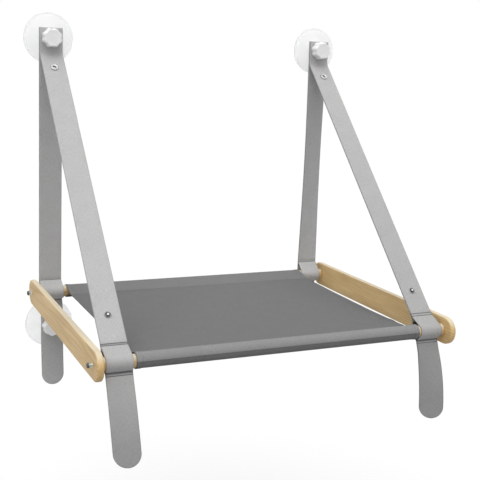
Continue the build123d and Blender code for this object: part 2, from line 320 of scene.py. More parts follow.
def pineGroup():
    # growth rings round a pith beside the board, drawn out along Y, with fine fibres and pores
    group, given, result = newGroup(
        "pineGrain",
        [
            ("Vector", "Vector", None),
            ("Pith X", "Float", 0.02),
            ("Pith Z", "Float", -0.03),
            ("Ring Width", "Float", 0.0028),
        ],
        [("Ring", "Float"), ("Fibre", "Float"), ("Patch", "Float")],
    )
    bend = group.nodes.new("ShaderNodeTexNoise")
    bend.inputs["Scale"].default_value = 1.0
    bend.inputs["Detail"].default_value = 1.5
    slow = group.nodes.new("ShaderNodeVectorMath")
    slow.operation = "MULTIPLY"
    slow.inputs[1].default_value = (22, 3.2, 22)
    group.links.new(given.outputs["Vector"], slow.inputs[0])
    group.links.new(slow.outputs[0], bend.inputs["Vector"])
    split = group.nodes.new("ShaderNodeSeparateXYZ")
    group.links.new(given.outputs["Vector"], split.inputs[0])
    across = mathNode(group, "SUBTRACT", (0, 0), split.outputs[0], given.outputs["Pith X"])
    upward = mathNode(group, "SUBTRACT", (0, 0), split.outputs[2], given.outputs["Pith Z"])
    square = mathNode(
        group,
        "ADD",
        (0, 0),
        mathNode(group, "MULTIPLY", (0, 0), across, across),
        mathNode(group, "MULTIPLY", (0, 0), upward, upward),
    )
    radius = mathNode(group, "SQRT", (0, 0), square)
    drift = mathNode(group, "MULTIPLY", (0, 0), bend.outputs["Fac"], 0.02)
    turns = mathNode(group, "DIVIDE", (0, 0), mathNode(group, "ADD", (0, 0), radius, drift), given.outputs["Ring Width"])
    saw = mathNode(group, "FRACT", (0, 0), turns)
    late = mathNode(group, "POWER", (0, 0), saw, 3.0)
    fade = mathNode(group, "SUBTRACT", (0, 0), 1.0, mathNode(group, "POWER", (0, 0), saw, 24.0))
    group.links.new(mathNode(group, "MULTIPLY", (0, 0), late, fade), result.inputs["Ring"])
    thin = group.nodes.new("ShaderNodeVectorMath")
    thin.operation = "MULTIPLY"
    thin.inputs[1].default_value = (1400, 28, 1400)
    group.links.new(given.outputs["Vector"], thin.inputs[0])
    fibre = group.nodes.new("ShaderNodeTexNoise")
    fibre.inputs["Scale"].default_value = 1.0
    fibre.inputs["Detail"].default_value = 4.0
    fibre.inputs["Roughness"].default_value = 0.65
    group.links.new(thin.outputs[0], fibre.inputs["Vector"])
    group.links.new(fibre.outputs["Fac"], result.inputs["Fibre"])
    wide = group.nodes.new("ShaderNodeVectorMath")
    wide.operation = "MULTIPLY"
    wide.inputs[1].default_value = (70, 9, 70)
    group.links.new(given.outputs["Vector"], wide.inputs[0])
    patch = group.nodes.new("ShaderNodeTexNoise")
    patch.inputs["Scale"].default_value = 1.0
    patch.inputs["Detail"].default_value = 3.0
    group.links.new(wide.outputs[0], patch.inputs["Vector"])
    group.links.new(patch.outputs["Fac"], result.inputs["Patch"])
    return group


def handlingGroup():
    # faint rub marks and pits left by handling
    group, given, result = newGroup(
        "handlingMarks",
        [("Vector", "Vector", None), ("Scale", "Float", 60.0)],
        [("Smudge", "Float"), ("Pit", "Float")],
    )
    for label, factor, detail in (("Smudge", 1.0, 5.0), ("Pit", 22.0, 2.0)):
        marks = group.nodes.new("ShaderNodeTexNoise")
        marks.inputs["Detail"].default_value = detail
        group.links.new(given.outputs["Vector"], marks.inputs["Vector"])
        size = mathNode(group, "MULTIPLY", (0, 0), given.outputs["Scale"], factor)
        group.links.new(size, marks.inputs["Scale"])
        group.links.new(marks.outputs["Fac"], result.inputs[label])
    return group


plainWeave = plainWeaveGroup()
melangeYarn = melangeGroup()
pineGrain = pineGroup()
handlingMarks = handlingGroup()


# Materials


def fabricMaterial(name, look):
    material, tree = newMaterial(name)
    coords = addNode(tree, "TexCoord", (-900, 0))
    weave = useGroup(tree, plainWeave, (-600, -200), coords.outputs["UV"], Threads=look["threads"])
    yarn = useGroup(
        tree, melangeYarn, (-600, 200), coords.outputs["UV"], Streak=look["streak"], Fibre=look["fibre"]
    )
    tone = ramp(tree, (-300, 300), yarn.outputs["Fleck"], look["fleckStops"])
    shaded = mixColour(tree, (0, 200), look["cloudShare"], tone, yarn.outputs["Cloud"], "OVERLAY")
    gap = mathNode(tree, "MULTIPLY", (-300, -100), weave.outputs["Gap"], look["gapShade"])
    colour = mixColour(tree, (250, 150), gap, shaded, look["gapColour"])
    # painted shade: seams, creases, loop insides and other shaded places carry it in their own mask, and painted shade
    # along the cut edges is found across the strip
    paintedShadeMask = addNode(tree, "Attribute", (0, -50))
    paintedShadeMask.attribute_name = "shade"
    colour = mixColour(tree, (400, 150), paintedShadeMask.outputs["Fac"], colour, look["paintedShadeColour"])
    across = addNode(tree, "SeparateXYZ", (-600, -500))
    tree.links.new(coords.outputs["UV"], across.inputs[0])
    reach = mathNode(tree, "ABSOLUTE", (-400, -500), across.outputs[0])
    edge = addNode(tree, "MapRange", (-200, -500))
    tree.links.new(reach, edge.inputs["Value"])
    edge.inputs["From Min"].default_value, edge.inputs["From Max"].default_value = look["edge"]
    # painted shade along the side edges of the strip
    paintedLightShare = mathNode(tree, "MULTIPLY", (0, -500), edge.outputs[0], look["edgeShade"])
    colour = mixColour(tree, (550, 150), paintedLightShare, colour, look["paintedShadeColour"])
    shader = surface(tree, **{"Specular IOR Level": look["specular"]})
    tree.links.new(colour, shader.inputs["Base Color"])
    rough = mathNode(tree, "MULTIPLY", (250, -150), yarn.outputs["Fleck"], look["roughSpread"])
    tree.links.new(mathNode(tree, "ADD", (450, -150), rough, look["roughBase"]), shader.inputs["Roughness"])
    shader.inputs["Sheen Weight"].default_value = look["sheen"]
    shader.inputs["Sheen Roughness"].default_value = 0.5
    grain = mathNode(tree, "MULTIPLY", (250, -400), yarn.outputs["Fleck"], 0.5)
    height = mathNode(tree, "ADD", (450, -400), weave.outputs["Height"], grain)
    bumpInto(tree, shader, height, look["bump"])
    return material


strapLook = {
    "threads": 1250.0,
    "streak": 0.0045,
    "fibre": 0.0007,
    "fleckStops": ((0.36, (0.47, 0.47, 0.467)), (0.5, (0.57, 0.57, 0.567)), (0.66, (0.67, 0.67, 0.67))),
    "cloudShare": 0.08,
    "gapShade": 0.35,
    "gapColour": (0.28, 0.28, 0.28),
    "paintedShadeColour": (0.035, 0.035, 0.035),
    "edge": (0.0185, 0.0198),
    "edgeShade": 0.35,
    "specular": 0.25,
    "roughBase": 0.62,
    "roughSpread": 0.25,
    "sheen": 0.1,
    "bump": 0.0003,
}
canvasLook = {
    "threads": 1900.0,
    "streak": 0.006,
    "fibre": 0.0005,
    "fleckStops": ((0.36, (0.25, 0.25, 0.252)), (0.5, (0.305, 0.305, 0.306)), (0.66, (0.36, 0.36, 0.36))),
    "cloudShare": 0.06,
    "gapShade": 0.3,
    "gapColour": (0.06, 0.06, 0.06),
    "paintedShadeColour": (0.02, 0.02, 0.02),
    "edge": (0.2345, 0.2362),
    "edgeShade": 0.5,
    "specular": 0.1,
    "roughBase": 0.6,
    "roughSpread": 0.2,
    "sheen": 0.0,
    "bump": 0.0002,
}
strapFabric = fabricMaterial("strapFabric", strapLook)
canvasFabric = fabricMaterial("canvasFabric", canvasLook)


def threadMaterial(name, colour):
    material, tree = newMaterial(name)
    coords = addNode(tree, "TexCoord", (-700, 0))
    twist = addNode(tree, "TexNoise", (-450, 0), Scale=2600.0, Detail=2.0)
    tree.links.new(coords.outputs["Object"], twist.inputs["Vector"])
    darker = tuple(0.7 * part for part in colour)
    tone = ramp(tree, (-200, 0), twist.outputs["Fac"], ((0.3, darker), (0.7, colour)))
    shader = surface(tree, Roughness=0.6)
    tree.links.new(tone, shader.inputs["Base Color"])
    bumpInto(tree, shader, twist.outputs["Fac"], 0.0001)
    return material


strapThread = threadMaterial("strapThread", (0.5, 0.5, 0.49))
canvasThread = threadMaterial("canvasThread", (0.16, 0.16, 0.16))


def pineMaterial(name, look):
    material, tree = newMaterial(name)
    coords = addNode(tree, "TexCoord", (-1300, 0))
    mapping = addNode(tree, "Mapping", (-1100, 0))
    mapping.inputs["Location"].default_value = look["shift"]
    mapping.inputs["Rotation"].default_value = look["turn"]
    tree.links.new(coords.outputs["Object"], mapping.inputs["Vector"])
    grain = useGroup(
        tree,
        pineGrain,
        (-850, 0),
        mapping.outputs[0],
        **{"Pith X": look["pith"][0], "Pith Z": look["pith"][1], "Ring Width": look["ringWidth"]},
    )
    body = ramp(tree, (-550, 200), grain.outputs["Patch"], ((0.3, look["dark"]), (0.72, look["pale"])))
    ringShare = mathNode(tree, "MULTIPLY", (-550, -100), grain.outputs["Ring"], look["ringShade"])
    ringed = mixColour(tree, (-200, 100), ringShare, body, look["late"])
    fibreTone = ramp(tree, (-550, -300), grain.outputs["Fibre"], ((0.3, (0.72, 0.68, 0.62)), (0.62, (1, 1, 1))))
    colour = mixColour(tree, (50, 50), look["fibreShade"], ringed, fibreTone, "MULTIPLY")
    # painted highlight: faces that point up are lightened towards a pale colour
    split = addNode(tree, "SeparateXYZ", (-550, -600))
    tree.links.new(coords.outputs["Normal"], split.inputs[0])
    edge = ramp(tree, (-300, -600), split.outputs[2], ((0.35, (0, 0, 0)), (0.8, (1, 1, 1))))
    paintedLightShare = mathNode(tree, "MULTIPLY", (0, -600), edge, look["paintedLightShare"])
    colour = mixColour(tree, (300, 50), paintedLightShare, colour, look["paintedHighlightColour"])
    shader = surface(tree, **{"Specular IOR Level": 0.4})
    tree.links.new(colour, shader.inputs["Base Color"])
    rough = mathNode(tree, "MULTIPLY", (300, -200), grain.outputs["Fibre"], 0.3)
    tree.links.new(mathNode(tree, "ADD", (500, -200), rough, 0.35), shader.inputs["Roughness"])
    relief = mathNode(tree, "ADD", (300, -400), grain.outputs["Fibre"], grain.outputs["Ring"])
    bumpInto(tree, shader, relief, 0.00012)
    return material


railLook = {
    "shift": (0.0, 0.0, 0.0),
    "turn": (0.0, 0.0, 0.0),
    "pith": (0.035, -0.5),
    "ringWidth": 0.0042,
    "pale": (0.82, 0.6, 0.3),
    "dark": (0.66, 0.45, 0.2),
    "late": (0.45, 0.27, 0.1),
    "ringShade": 0.6,
    "fibreShade": 0.6,
    "paintedHighlightColour": (0.7, 0.63, 0.48),
    "paintedLightShare": 0.8,
}


def railMaterial(side):
    look = dict(railLook)
    look["shift"] = (0.0, 0.31 if side == "left" else -0.17, 0.0)
    look["pith"] = (-0.33, -0.41) if side == "left" else (0.26, -0.5)
    return pineMaterial("railPine" + side.title(), look)


def dowelMaterial(name, shift):
    look = dict(railLook)
    look.update(
        {
            "turn": (0.0, 0.0, math.pi / 2),
            "shift": shift,
            "pith": (0.03, -0.44),
            "ringWidth": 0.0033,
            "pale": (0.8, 0.6, 0.33),
            "dark": (0.68, 0.48, 0.24),
        }
    )
    return pineMaterial(name, look)


def plasticMaterial():
    material, tree = newMaterial("knobPlastic")
    coords = addNode(tree, "TexCoord", (-900, 0))
    marks = useGroup(tree, handlingMarks, (-650, 0), coords.outputs["Object"], Scale=70.0)
    tone = ramp(
        tree, (-300, 100), marks.outputs["Smudge"], ((0.35, (0.9, 0.9, 0.9)), (0.65, (0.95, 0.95, 0.95)))
    )
    shader = surface(tree, **{"Specular IOR Level": 0.8})
    tree.links.new(tone, shader.inputs["Base Color"])
    rough = mathNode(tree, "MULTIPLY", (-300, -100), marks.outputs["Smudge"], 0.3)
    tree.links.new(mathNode(tree, "ADD", (0, -100), rough, 0.22), shader.inputs["Roughness"])
    bumpInto(tree, shader, marks.outputs["Pit"], 0.00006)
    return material


def clearMaterial():
    material, tree = newMaterial("cupClearPvc")
    coords = addNode(tree, "TexCoord", (-900, 0))
    marks = useGroup(tree, handlingMarks, (-650, 0), coords.outputs["Object"], Scale=45.0)
    tone = ramp(
        tree, (-300, 100), marks.outputs["Smudge"], ((0.3, (0.95, 0.955, 0.958)), (0.7, (0.98, 0.982, 0.984)))
    )
    shader = surface(tree, IOR=1.35)
    shader.inputs["Transmission Weight"].default_value = 0.82
    tree.links.new(tone, shader.inputs["Base Color"])
    rough = mathNode(tree, "MULTIPLY", (-300, -100), marks.outputs["Smudge"], 0.15)
    tree.links.new(mathNode(tree, "ADD", (0, -100), rough, 0.3), shader.inputs["Roughness"])
    bumpInto(tree, shader, marks.outputs["Smudge"], 0.0001)
    return material


def metalMaterial(name, pale, dark, roughness):
    material, tree = newMaterial(name)
    coords = addNode(tree, "TexCoord", (-900, 0))
    marks = useGroup(tree, handlingMarks, (-650, 0), coords.outputs["Object"], Scale=240.0)
    tone = ramp(tree, (-300, 100), marks.outputs["Smudge"], ((0.35, dark), (0.65, pale)))
    # painted shade from the piece's own shade attribute, towards near black
    paintedMetalShade = addNode(tree, "Attribute", (-300, 300))
    paintedMetalShade.attribute_name = "shade"
    tone = mixColour(tree, (0, 200), paintedMetalShade.outputs["Fac"], tone, (0.015, 0.015, 0.015))
    shader = surface(tree, Metallic=1.0)
    tree.links.new(tone, shader.inputs["Base Color"])
    rough = mathNode(tree, "MULTIPLY", (-300, -100), marks.outputs["Pit"], 0.3)
    tree.links.new(mathNode(tree, "ADD", (0, -100), rough, roughness), shader.inputs["Roughness"])
    bumpInto(tree, shader, marks.outputs["Pit"], 0.00003)
    return material


knobPlastic = plasticMaterial()
cupClear = clearMaterial()
boltZinc = metalMaterial("boltZinc", (0.74, 0.77, 0.76), (0.5, 0.53, 0.52), 0.18)
snapNickel = metalMaterial("snapNickel", (0.66, 0.66, 0.66), (0.42, 0.42, 0.42), 0.24)
studSteel = metalMaterial("studSteel", (0.64, 0.65, 0.66), (0.45, 0.46, 0.47), 0.25)
insertBrass = metalMaterial("insertBrass", (0.72, 0.58, 0.3), (0.5, 0.38, 0.18), 0.22)
print("materials ready")


# Carried-over CAD nodes


def paintNode(nodeName, material):
    piece = nodes[nodeName]
    piece.data.materials.clear()
    piece.data.materials.append(material)


for side in sides:
    paintNode("rail_" + side, railMaterial(side))
    for end in ("rear", "front"):
        paintNode("dowel_insert_%s_%s" % (end, side), insertBrass)
paintNode("rear_dowel", dowelMaterial("dowelPineRear", (0.0, 0.1, 0.02)))
paintNode("front_dowel", dowelMaterial("dowelPineFront", (0.0, 0.4, -0.01)))
for place in cupPlaces:
    paintNode("cup_stud_" + place, studSteel)
    paintNode("knob_insert_" + place, insertBrass)
print("frame nodes painted")


# Strips of cloth laid along a route of corners in the YZ plane


def heading(start, end):
    return math.atan2(end[1] - start[1], end[0] - start[0])


def turnBetween(first, second):
    return (second - first + math.pi) % (2 * math.pi) - math.pi


def layStrip(name, x, width, columns, corners, spacing, arcSpacing=None):
    # corners are (y, z, radius); straight runs are extruded and the corners are spun
    arcSpacing = arcSpacing or spacing
    legs = [heading(a, b) for a, b in zip(corners, corners[1:])]
    turns = [0.0] + [turnBetween(a, b) for a, b in zip(legs, legs[1:])] + [0.0]
    used = [corner[2] * math.tan(abs(turn) / 2) for corner, turn in zip(corners, turns)]
    y, z, direction = corners[0][0], corners[0][1], legs[0]
    firstLeg = math.dist(corners[0][:2], corners[1][:2]) - used[1]
    firstSteps = max(1, math.ceil(firstLeg / spacing))
    firstStep = firstLeg / firstSteps
    deselectAll()
    bpy.ops.mesh.primitive_grid_add(x_subdivisions=columns, y_subdivisions=1, size=1)
    strip = bpy.context.object
    strip.name = name
    strip.data.name = name
    strip.scale = (width, firstStep, 1)
    strip.rotation_euler = (direction, 0, 0)
    strip.location = (x, y + math.cos(direction) * firstStep / 2, z + math.sin(direction) * firstStep / 2)
    settle(strip)
    rowSize = columns + 1
    bpy.ops.object.mode_set(mode="EDIT")
    bpy.ops.mesh.select_all(action="DESELECT")
    bpy.ops.object.mode_set(mode="OBJECT")
    for index, vert in enumerate(strip.data.vertices):
        vert.select = index >= rowSize
    bpy.ops.object.mode_set(mode="EDIT")
    y += math.cos(direction) * firstStep
    z += math.sin(direction) * firstStep
    for index, direction in enumerate(legs):
        leg = math.dist(corners[index][:2], corners[index + 1][:2]) - used[index] - used[index + 1]
        steps = max(1, math.ceil(leg / spacing))
        step = Vector((0, math.cos(direction), math.sin(direction))) * (leg / steps)
        skipped = 1 if index == 0 else 0
        if leg > 1e-6:
            for _ in range(steps - skipped):
                bpy.ops.mesh.extrude_region_move(TRANSFORM_OT_translate={"value": step})
                y += step.y
                z += step.z
        turn = turns[index + 1]
        radius = corners[index + 1][2]
        if abs(turn) > 1e-4 and radius > 0:
            side = math.copysign(math.pi / 2, turn)
            centre = (x, y + radius * math.cos(direction + side), z + radius * math.sin(direction + side))
            steps = max(2, math.ceil(abs(turn) * max(radius, 0.004) / arcSpacing))
            # the spin operator counts its angle the other way round
            bpy.ops.mesh.spin(steps=steps, angle=-turn, center=centre, axis=(1, 0, 0))
            nextDirection = direction + turn
            y = centre[1] - radius * math.cos(nextDirection + side)
            z = centre[2] - radius * math.sin(nextDirection + side)
    stopEdit()
    mapStrip(strip, x, rowSize)
    return strip


def mapStrip(strip, x, rowSize):
    # the UV map is in metres: across the strip, and along it from its first row
    verts = strip.data.vertices
    along = [0.0]
    for row in range(1, len(verts) // rowSize):
        gap = (verts[row * rowSize].co - verts[(row - 1) * rowSize].co).length
        along.append(along[-1] + gap)
    layer = strip.data.uv_layers[0]
    for loop in strip.data.loops:
        vert = verts[loop.vertex_index]
        layer.data[loop.index].uv = (vert.co.x - x, along[loop.vertex_index // rowSize])
    strip["length"] = along[-1]


def bell(distance, width):
    return math.exp(-((distance / width) ** 2))


def rowMiddle(strip, row, rowSize):
    first = strip.data.vertices[row * rowSize].co
    last = strip.data.vertices[(row + 1) * rowSize - 1].co
    return (first + last) / 2


def pressSeams(strip, rowSize, seams, basePaintedShade=0.0):
    # each seam is (y, z, width, depth, shade): the rows near it sink along the strip's
    # outward side, as fabric does where a thread pulls it down, and take painted shade for the groove's shadow; the
    # other rows take the base painted shade
    rows = len(strip.data.vertices) // rowSize
    places = [rowMiddle(strip, row, rowSize) for row in range(rows)]
    mask = strip.data.attributes.new("shade", "FLOAT", "POINT")
    for row, here in enumerate(places):
        along = (places[min(row + 1, rows - 1)] - places[max(row - 1, 0)]).normalized()
        outward = Vector((0, along.z, -along.y))
        sink, shade = 0.0, basePaintedShade
        for y, z, width, depth, strength in seams:
            share = bell(math.dist((here.y, here.z), (y, z)), width)
            sink += depth * share
            shade = max(shade, strength * share)
        for column in range(rowSize):
            strip.data.vertices[row * rowSize + column].co -= outward * sink
            mask.data[row * rowSize + column].value = shade


def shadeAlong(strip, rowSize, fromShade, toShade):
    # painted shade that changes evenly from the first row to the last
    mask = strip.data.attributes.new("shade", "FLOAT", "POINT")
    rows = len(strip.data.vertices) // rowSize
    for index in range(len(strip.data.vertices)):
        share = (index // rowSize) / (rows - 1)
        mask.data[index].value = fromShade + (toShade - fromShade) * share


def paintLoopInsideShade(piece, centre, reach, shade):
    # painted shade on the inside of a loop, which faces the dowel
    mask = piece.data.attributes["shade"]
    for vert in piece.data.vertices:
        inward = Vector((0, centre[0] - vert.co.y, centre[1] - vert.co.z))
        if inward.length < reach and vert.normal.dot(inward.normalized()) > 0.5:
            mask.data[vert.index].value = shade


def shiftDown(piece, centre, depth, shift):
    # rows below the dowel's middle move sideways, fully from this depth down
    for vert in piece.data.vertices:
        share = min(1.0, max(0.0, (centre[1] - vert.co.z) / depth))
        vert.co.x += shift * share * share * (3 - 2 * share)


def thicken(strip, thickness, edgeRound, offset=0.0):
    applyModifier(strip, "SOLIDIFY", thickness=thickness, offset=offset, use_even_offset=True)
    applyModifier(
        strip, "BEVEL", width=edgeRound, segments=2, limit_method="ANGLE", angle_limit=math.radians(55)
    )
    smoothShade(strip, 50)


def wrap(centre, radius, startAngle, sweep):
    # corners of the outline that holds an arc of this radius round the centre
    count = max(1, math.ceil(abs(sweep) / math.radians(75)))
    step = sweep / count
    reach = radius / math.cos(step / 2)
    found = []
    for index in range(count):
        angle = startAngle + step * (index + 0.5)
        found.append((centre[0] + reach * math.cos(angle), centre[1] + reach * math.sin(angle), radius))
    return found


def touchAngle(point, centre, radius, side):
    # where the tangent from the point meets the circle, as an angle about the centre
    away = heading(centre, point)
    return away + side * math.acos(radius / math.dist(point[:2], centre[:2]))


def aroundDowel(start, end, centre, radius, side):
    first = touchAngle(start, centre, radius, side)
    last = touchAngle(end, centre, radius, -side)
    sweep = (last - first) % (2 * math.pi)
    if side < 0:
        sweep = sweep - 2 * math.pi if sweep > 0 else sweep
    return wrap(centre, radius, first, sweep)


# Front straps, from the round top under the knob to the loop

frontStrap = {
    "kinkZ": -0.026,
    "bendRadius": 0.014,
    "upperEdge": {"left": 0.0305, "right": 0.0334},  # where the strap ends and the loop's flange starts
    "upperCrease": {"left": 0.0262, "right": 0.0275},
    "lowerCrease": 0.014,
    "lowerEdge": 0.0192,
    "ridge": 0.0003,  # how far the flange swells between its two rows of stitches
    "topSeam": (0.0011, 0.00025, 0.97),  # width, depth and painted shade of a row of stitches: the shade stands in for the groove's shadow
    "creaseSeam": (0.0027, 0.0002, 0.95),
    "lowSeam": (0.0011, 0.0002, 0.88),
    "strapShade": {"left": (0.0, 0.03), "right": (0.0, 0.2)},  # painted shade, from the top of the strap to its end
    # painted shade over the whole of each front loop, more on the right
    "loopShade": {"left": 0.12, "right": 0.22},
    # painted shade on the inside of the loops
    "insidePaintedShade": 0.93,
    "lowShift": {"left": 0.0, "right": -0.0045},  # how far the loop's lower seam sits off the strap's line
    "spacing": 0.006,
    "loopSpacing": 0.0007,
    "blendStart": 0.404,
    "blendEnd": 0.905,
}
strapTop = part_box("front_strap_left")[1].z
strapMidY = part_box("front_strap_left")[1].y - straps["ply"]
frontCentre = (frontDowel.y, frontDowel.z)
kink = (strapMidY, frontStrap["kinkZ"])
strapHeading = heading(frontCentre, kink)


def fromDowel(centre, angle, distance, offset=0.0):
    # a point out from the dowel along a direction, moved sideways by the offset
    y = centre[0] + distance * math.cos(angle) + offset * math.cos(angle + math.pi / 2)
    z = centre[1] + distance * math.sin(angle) + offset * math.sin(angle + math.pi / 2)
    return (y, z)


def makeFrontStrap(side, sign):
    x = sign * abs(middle("front_strap_left").x)
    end = fromDowel(frontCentre, strapHeading, frontStrap["upperEdge"][side])
    corners = [(strapMidY, strapTop, 0), (*kink, frontStrap["bendRadius"]), (*end, 0)]
    strip = layStrip("front_strap_" + side, x, straps["width"], straps["columns"], corners, frontStrap["spacing"])
    shadeAlong(strip, straps["columns"] + 1, *frontStrap["strapShade"][side])
    thicken(strip, 2 * straps["ply"], straps["edgeRound"])
    return strip, x, end


for side, sign in sides.items():
    strip, x, end = makeFrontStrap(side, sign)
    strip.name = "frontStrap_" + side
    strip.data.materials.clear()
    strip.data.materials.append(strapFabric)
    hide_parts("front_strap_" + side)
    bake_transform(strip)
print("front straps laid")


# Stitches: one modelled, then repeated across a strap in a row

stitch = {"length": 0.0026, "pitch": 0.0033, "thick": 0.0003, "dip": 0.00028, "margin": 0.0016}


def makeStitch():
    # a thread along Y that dives into the fabric at both ends, swept from a small circle
    half, thick = stitch["length"] / 2, stitch["thick"]
    rings = ((-half, 0.5), (-half * 0.72, 0.95), (0, 1.0), (half * 0.72, 0.95), (half, 0.5))
    deselectAll()
    bpy.ops.mesh.primitive_circle_add(vertices=6, radius=thick * rings[0][1])
    thread = bpy.context.object
    thread.name = "stitchModel"
    startEdit(thread)
    bpy.ops.mesh.select_all(action="SELECT")
    bpy.ops.mesh.edge_face_add()
    for (start, wide), (end, nextWide) in zip(rings, rings[1:]):
        bpy.ops.mesh.extrude_region_move(TRANSFORM_OT_translate={"value": (0, 0, end - start)})
        share = nextWide / wide
        bpy.ops.transform.resize(value=(share, share, 1), center_override=(0, 0, 0))
    bpy.ops.mesh.select_all(action="SELECT")
    bpy.ops.transform.translate(value=(0, 0, -half))
    bpy.ops.mesh.normals_make_consistent(inside=False)
    stopEdit()
    thread.rotation_euler = (0, math.pi / 2, 0)
    settle(thread)
    for vert in thread.data.vertices:
        vert.co.z -= stitch["dip"] * (vert.co.x / half) ** 2
    smoothShade(thread, 60)
    return thread


stitchModel = makeStitch()


def stitchRow(name, x, width, seat, outward):
    # seat is (y, z) on the fabric, outward the angle in the YZ plane that the stitches stand towards
    count = int((width - 2 * stitch["margin"]) / stitch["pitch"])
    row = newCopy(stitchModel, name)
    applyModifier(
        row,
        "ARRAY",
        count=count,
        use_relative_offset=False,
        use_constant_offset=True,
        constant_offset_displace=(stitch["pitch"], 0, 0),
    )
    row.rotation_euler = (outward - math.pi / 2, 0, 0)
    row.location = (x - (count - 1) * stitch["pitch"] / 2, *seat)
    settle(row)
    return row


def joinPieces(pieces, name):
    deselectAll()
    for piece in pieces:
        piece.select_set(True)
    bpy.context.view_layer.objects.active = pieces[0]
    bpy.ops.object.join()
    joined = bpy.context.object
    joined.name = name
    joined.data.name = name
    return joined


def dressStitches(rows, name, thread, slotName, body):
    joined = joinPieces(rows, name)
    dress(joined, thread, slotName, body)


# Front loops: two plies that part at the seams and pass each side of the dowel


def flange(centre, angle, fromReach, toReach, offset):
    # a sewn flange between two rows of stitches: flat at both rows and swollen between them
    swell = math.copysign(abs(offset) + frontStrap["ridge"], offset)
    quarter = (toReach - fromReach) / 4
    places = ((fromReach, offset), (fromReach + quarter, swell), (toReach - quarter, swell), (toReach, offset))
    return [fromDowel(centre, angle, reach, aside) for reach, aside in places]


def makeFrontLoop(side, sign):
    x = sign * abs(middle("front_loop_left").x)
    lean = tail["shapes"][side][0]
    down = math.radians(-90 - lean)
    half = straps["ply"] / 2
    topEdge, topCrease = frontStrap["upperEdge"][side], frontStrap["upperCrease"][side]
    lowCrease, lowEdge = frontStrap["lowerCrease"], frontStrap["lowerEdge"]
    plies, rows = [], []
    for label, turnSide in (("face", 1), ("back", -1)):
        top = flange(frontCentre, strapHeading, topEdge, topCrease, half * turnSide)
        low = flange(frontCentre, down, lowCrease, lowEdge, -half * turnSide)
        arc = aroundDowel(top[-1], low[0], frontCentre, loopRadius, turnSide)
        corners = [(*top[0], 0)]
        corners += [(*point, 0.0004) for point in top[1:]]
        corners += arc
        corners += [(*point, 0.0004) for point in low[:-1]]
        corners.append((*low[-1], 0))
        ply = layStrip(
            "frontLoop%s_%s" % (label.title(), side),
            x,
            straps["width"],
            straps["columns"],
            corners,
            frontStrap["loopSpacing"],
        )
        seams = (
            (strapHeading, topEdge - 0.0012, turnSide, frontStrap["topSeam"]),
            (strapHeading, topCrease + 0.0004, turnSide, frontStrap["topSeam"]),
            (down, lowCrease, -turnSide, frontStrap["creaseSeam"]),
            (down, lowEdge - 0.0009, -turnSide, frontStrap["lowSeam"]),
        )
        pressed = []
        for angle, reach, outSide, (seamWidth, depth, shade) in seams:
            middleLine = fromDowel(frontCentre, angle, reach, outSide * half)
            pressed.append((*middleLine, seamWidth, depth * turnSide, shade))
            seat = fromDowel(frontCentre, angle, reach, outSide * (straps["ply"] - depth))
            rows.append(stitchRow("row", x, straps["width"], seat, angle + outSide * math.pi / 2))
        pressSeams(ply, straps["columns"] + 1, pressed, frontStrap["loopShade"][side])
        thicken(ply, straps["ply"], straps["edgeRound"])
        paintLoopInsideShade(ply, frontCentre, topCrease - 0.001, frontStrap["insidePaintedShade"])
        plies.append(ply)
    for piece in plies + rows:
        shiftDown(piece, frontCentre, lowCrease, frontStrap["lowShift"][side])
    loop = joinPieces(plies, "frontLoop_" + side)
    dress(loop, strapFabric, "strap_fabric", "tray", "front_loop_" + side)
    dressStitches(rows, "frontLoopStitches_" + side, strapThread, "strap_fabric", "tray")


# Front tails, with round ends; lean at the top and at the end in degrees, and length

tail = {
    "shapes": {"left": (25.0, 14.0, 0.118), "right": (19.0, 0.0, 0.1175)},
    "endRun": 0.024,
    "twist": {"left": -8.0, "right": -24.0},
    "pivot": 0.0265,
    "blendReach": 0.006,
    "spacing": 0.002,
    "shade": {"left": (0.17, 0.42), "right": (0.42, 0.38)},  # painted shade at the top and at the end
    "topShift": {"left": 0.0, "right": -0.0045},  # the tail comes back to the strap's line at its end
    "endShift": {"left": 0.0026, "right": 0.0016},
}

for side, sign in sides.items():
    makeFrontLoop(side, sign)
print("front loops laid")


def roundEnd(strip, x, rowSize, radius):
    # the last rows are drawn in to a half circle, and the last row of all is closed
    verts = strip.data.vertices
    rows = len(verts) // rowSize
    along = [0.0]
    for row in range(1, rows):
        along.append(along[-1] + (verts[row * rowSize].co - verts[(row - 1) * rowSize].co).length)
    onward = (verts[-1].co - verts[-1 - rowSize].co).normalized()
    for row in range(rows):
        fromEnd = along[-1] - along[row]
        if fromEnd >= radius:
            continue
        # the rows close up towards the end, at even angles round the half circle
        angle = fromEnd / radius * math.pi / 2
        onwardBy = fromEnd - radius * (1 - math.cos(angle))
        for column in range(rowSize):
            vert = verts[row * rowSize + column]
            vert.co.x = x + (vert.co.x - x) * math.sin(angle)
            vert.co += onward * onwardBy


def mapAgain(strip, x):
    layer = strip.data.uv_layers[0]
    for loop in strip.data.loops:
        vert = strip.data.vertices[loop.vertex_index]
        layer.data[loop.index].uv.x = vert.co.x - x


def twistStrip(strip, x, degrees, start, rowSize):
    # rows past the start turn more and more about the strip's own middle line
    verts = strip.data.vertices
    rows = len(verts) // rowSize
    first = next(row for row in range(rows) if (verts[row * rowSize].co - start).length > straps["width"] * 0.6)
    for row in range(first, rows):
        share = (row - first) / (rows - 1 - first)
        turn = math.radians(degrees) * share * (2 - share)
        for column in range(rowSize):
            vert = verts[row * rowSize + column]
            reach = vert.co.x - x
            vert.co.x = x + reach * math.cos(turn)
            vert.co.y += reach * math.sin(turn)


def closeStripEnd(strip):
    startEdit(strip)
    bpy.ops.mesh.select_all(action="SELECT")
    bpy.ops.mesh.remove_doubles(threshold=1e-5)
    stopEdit()


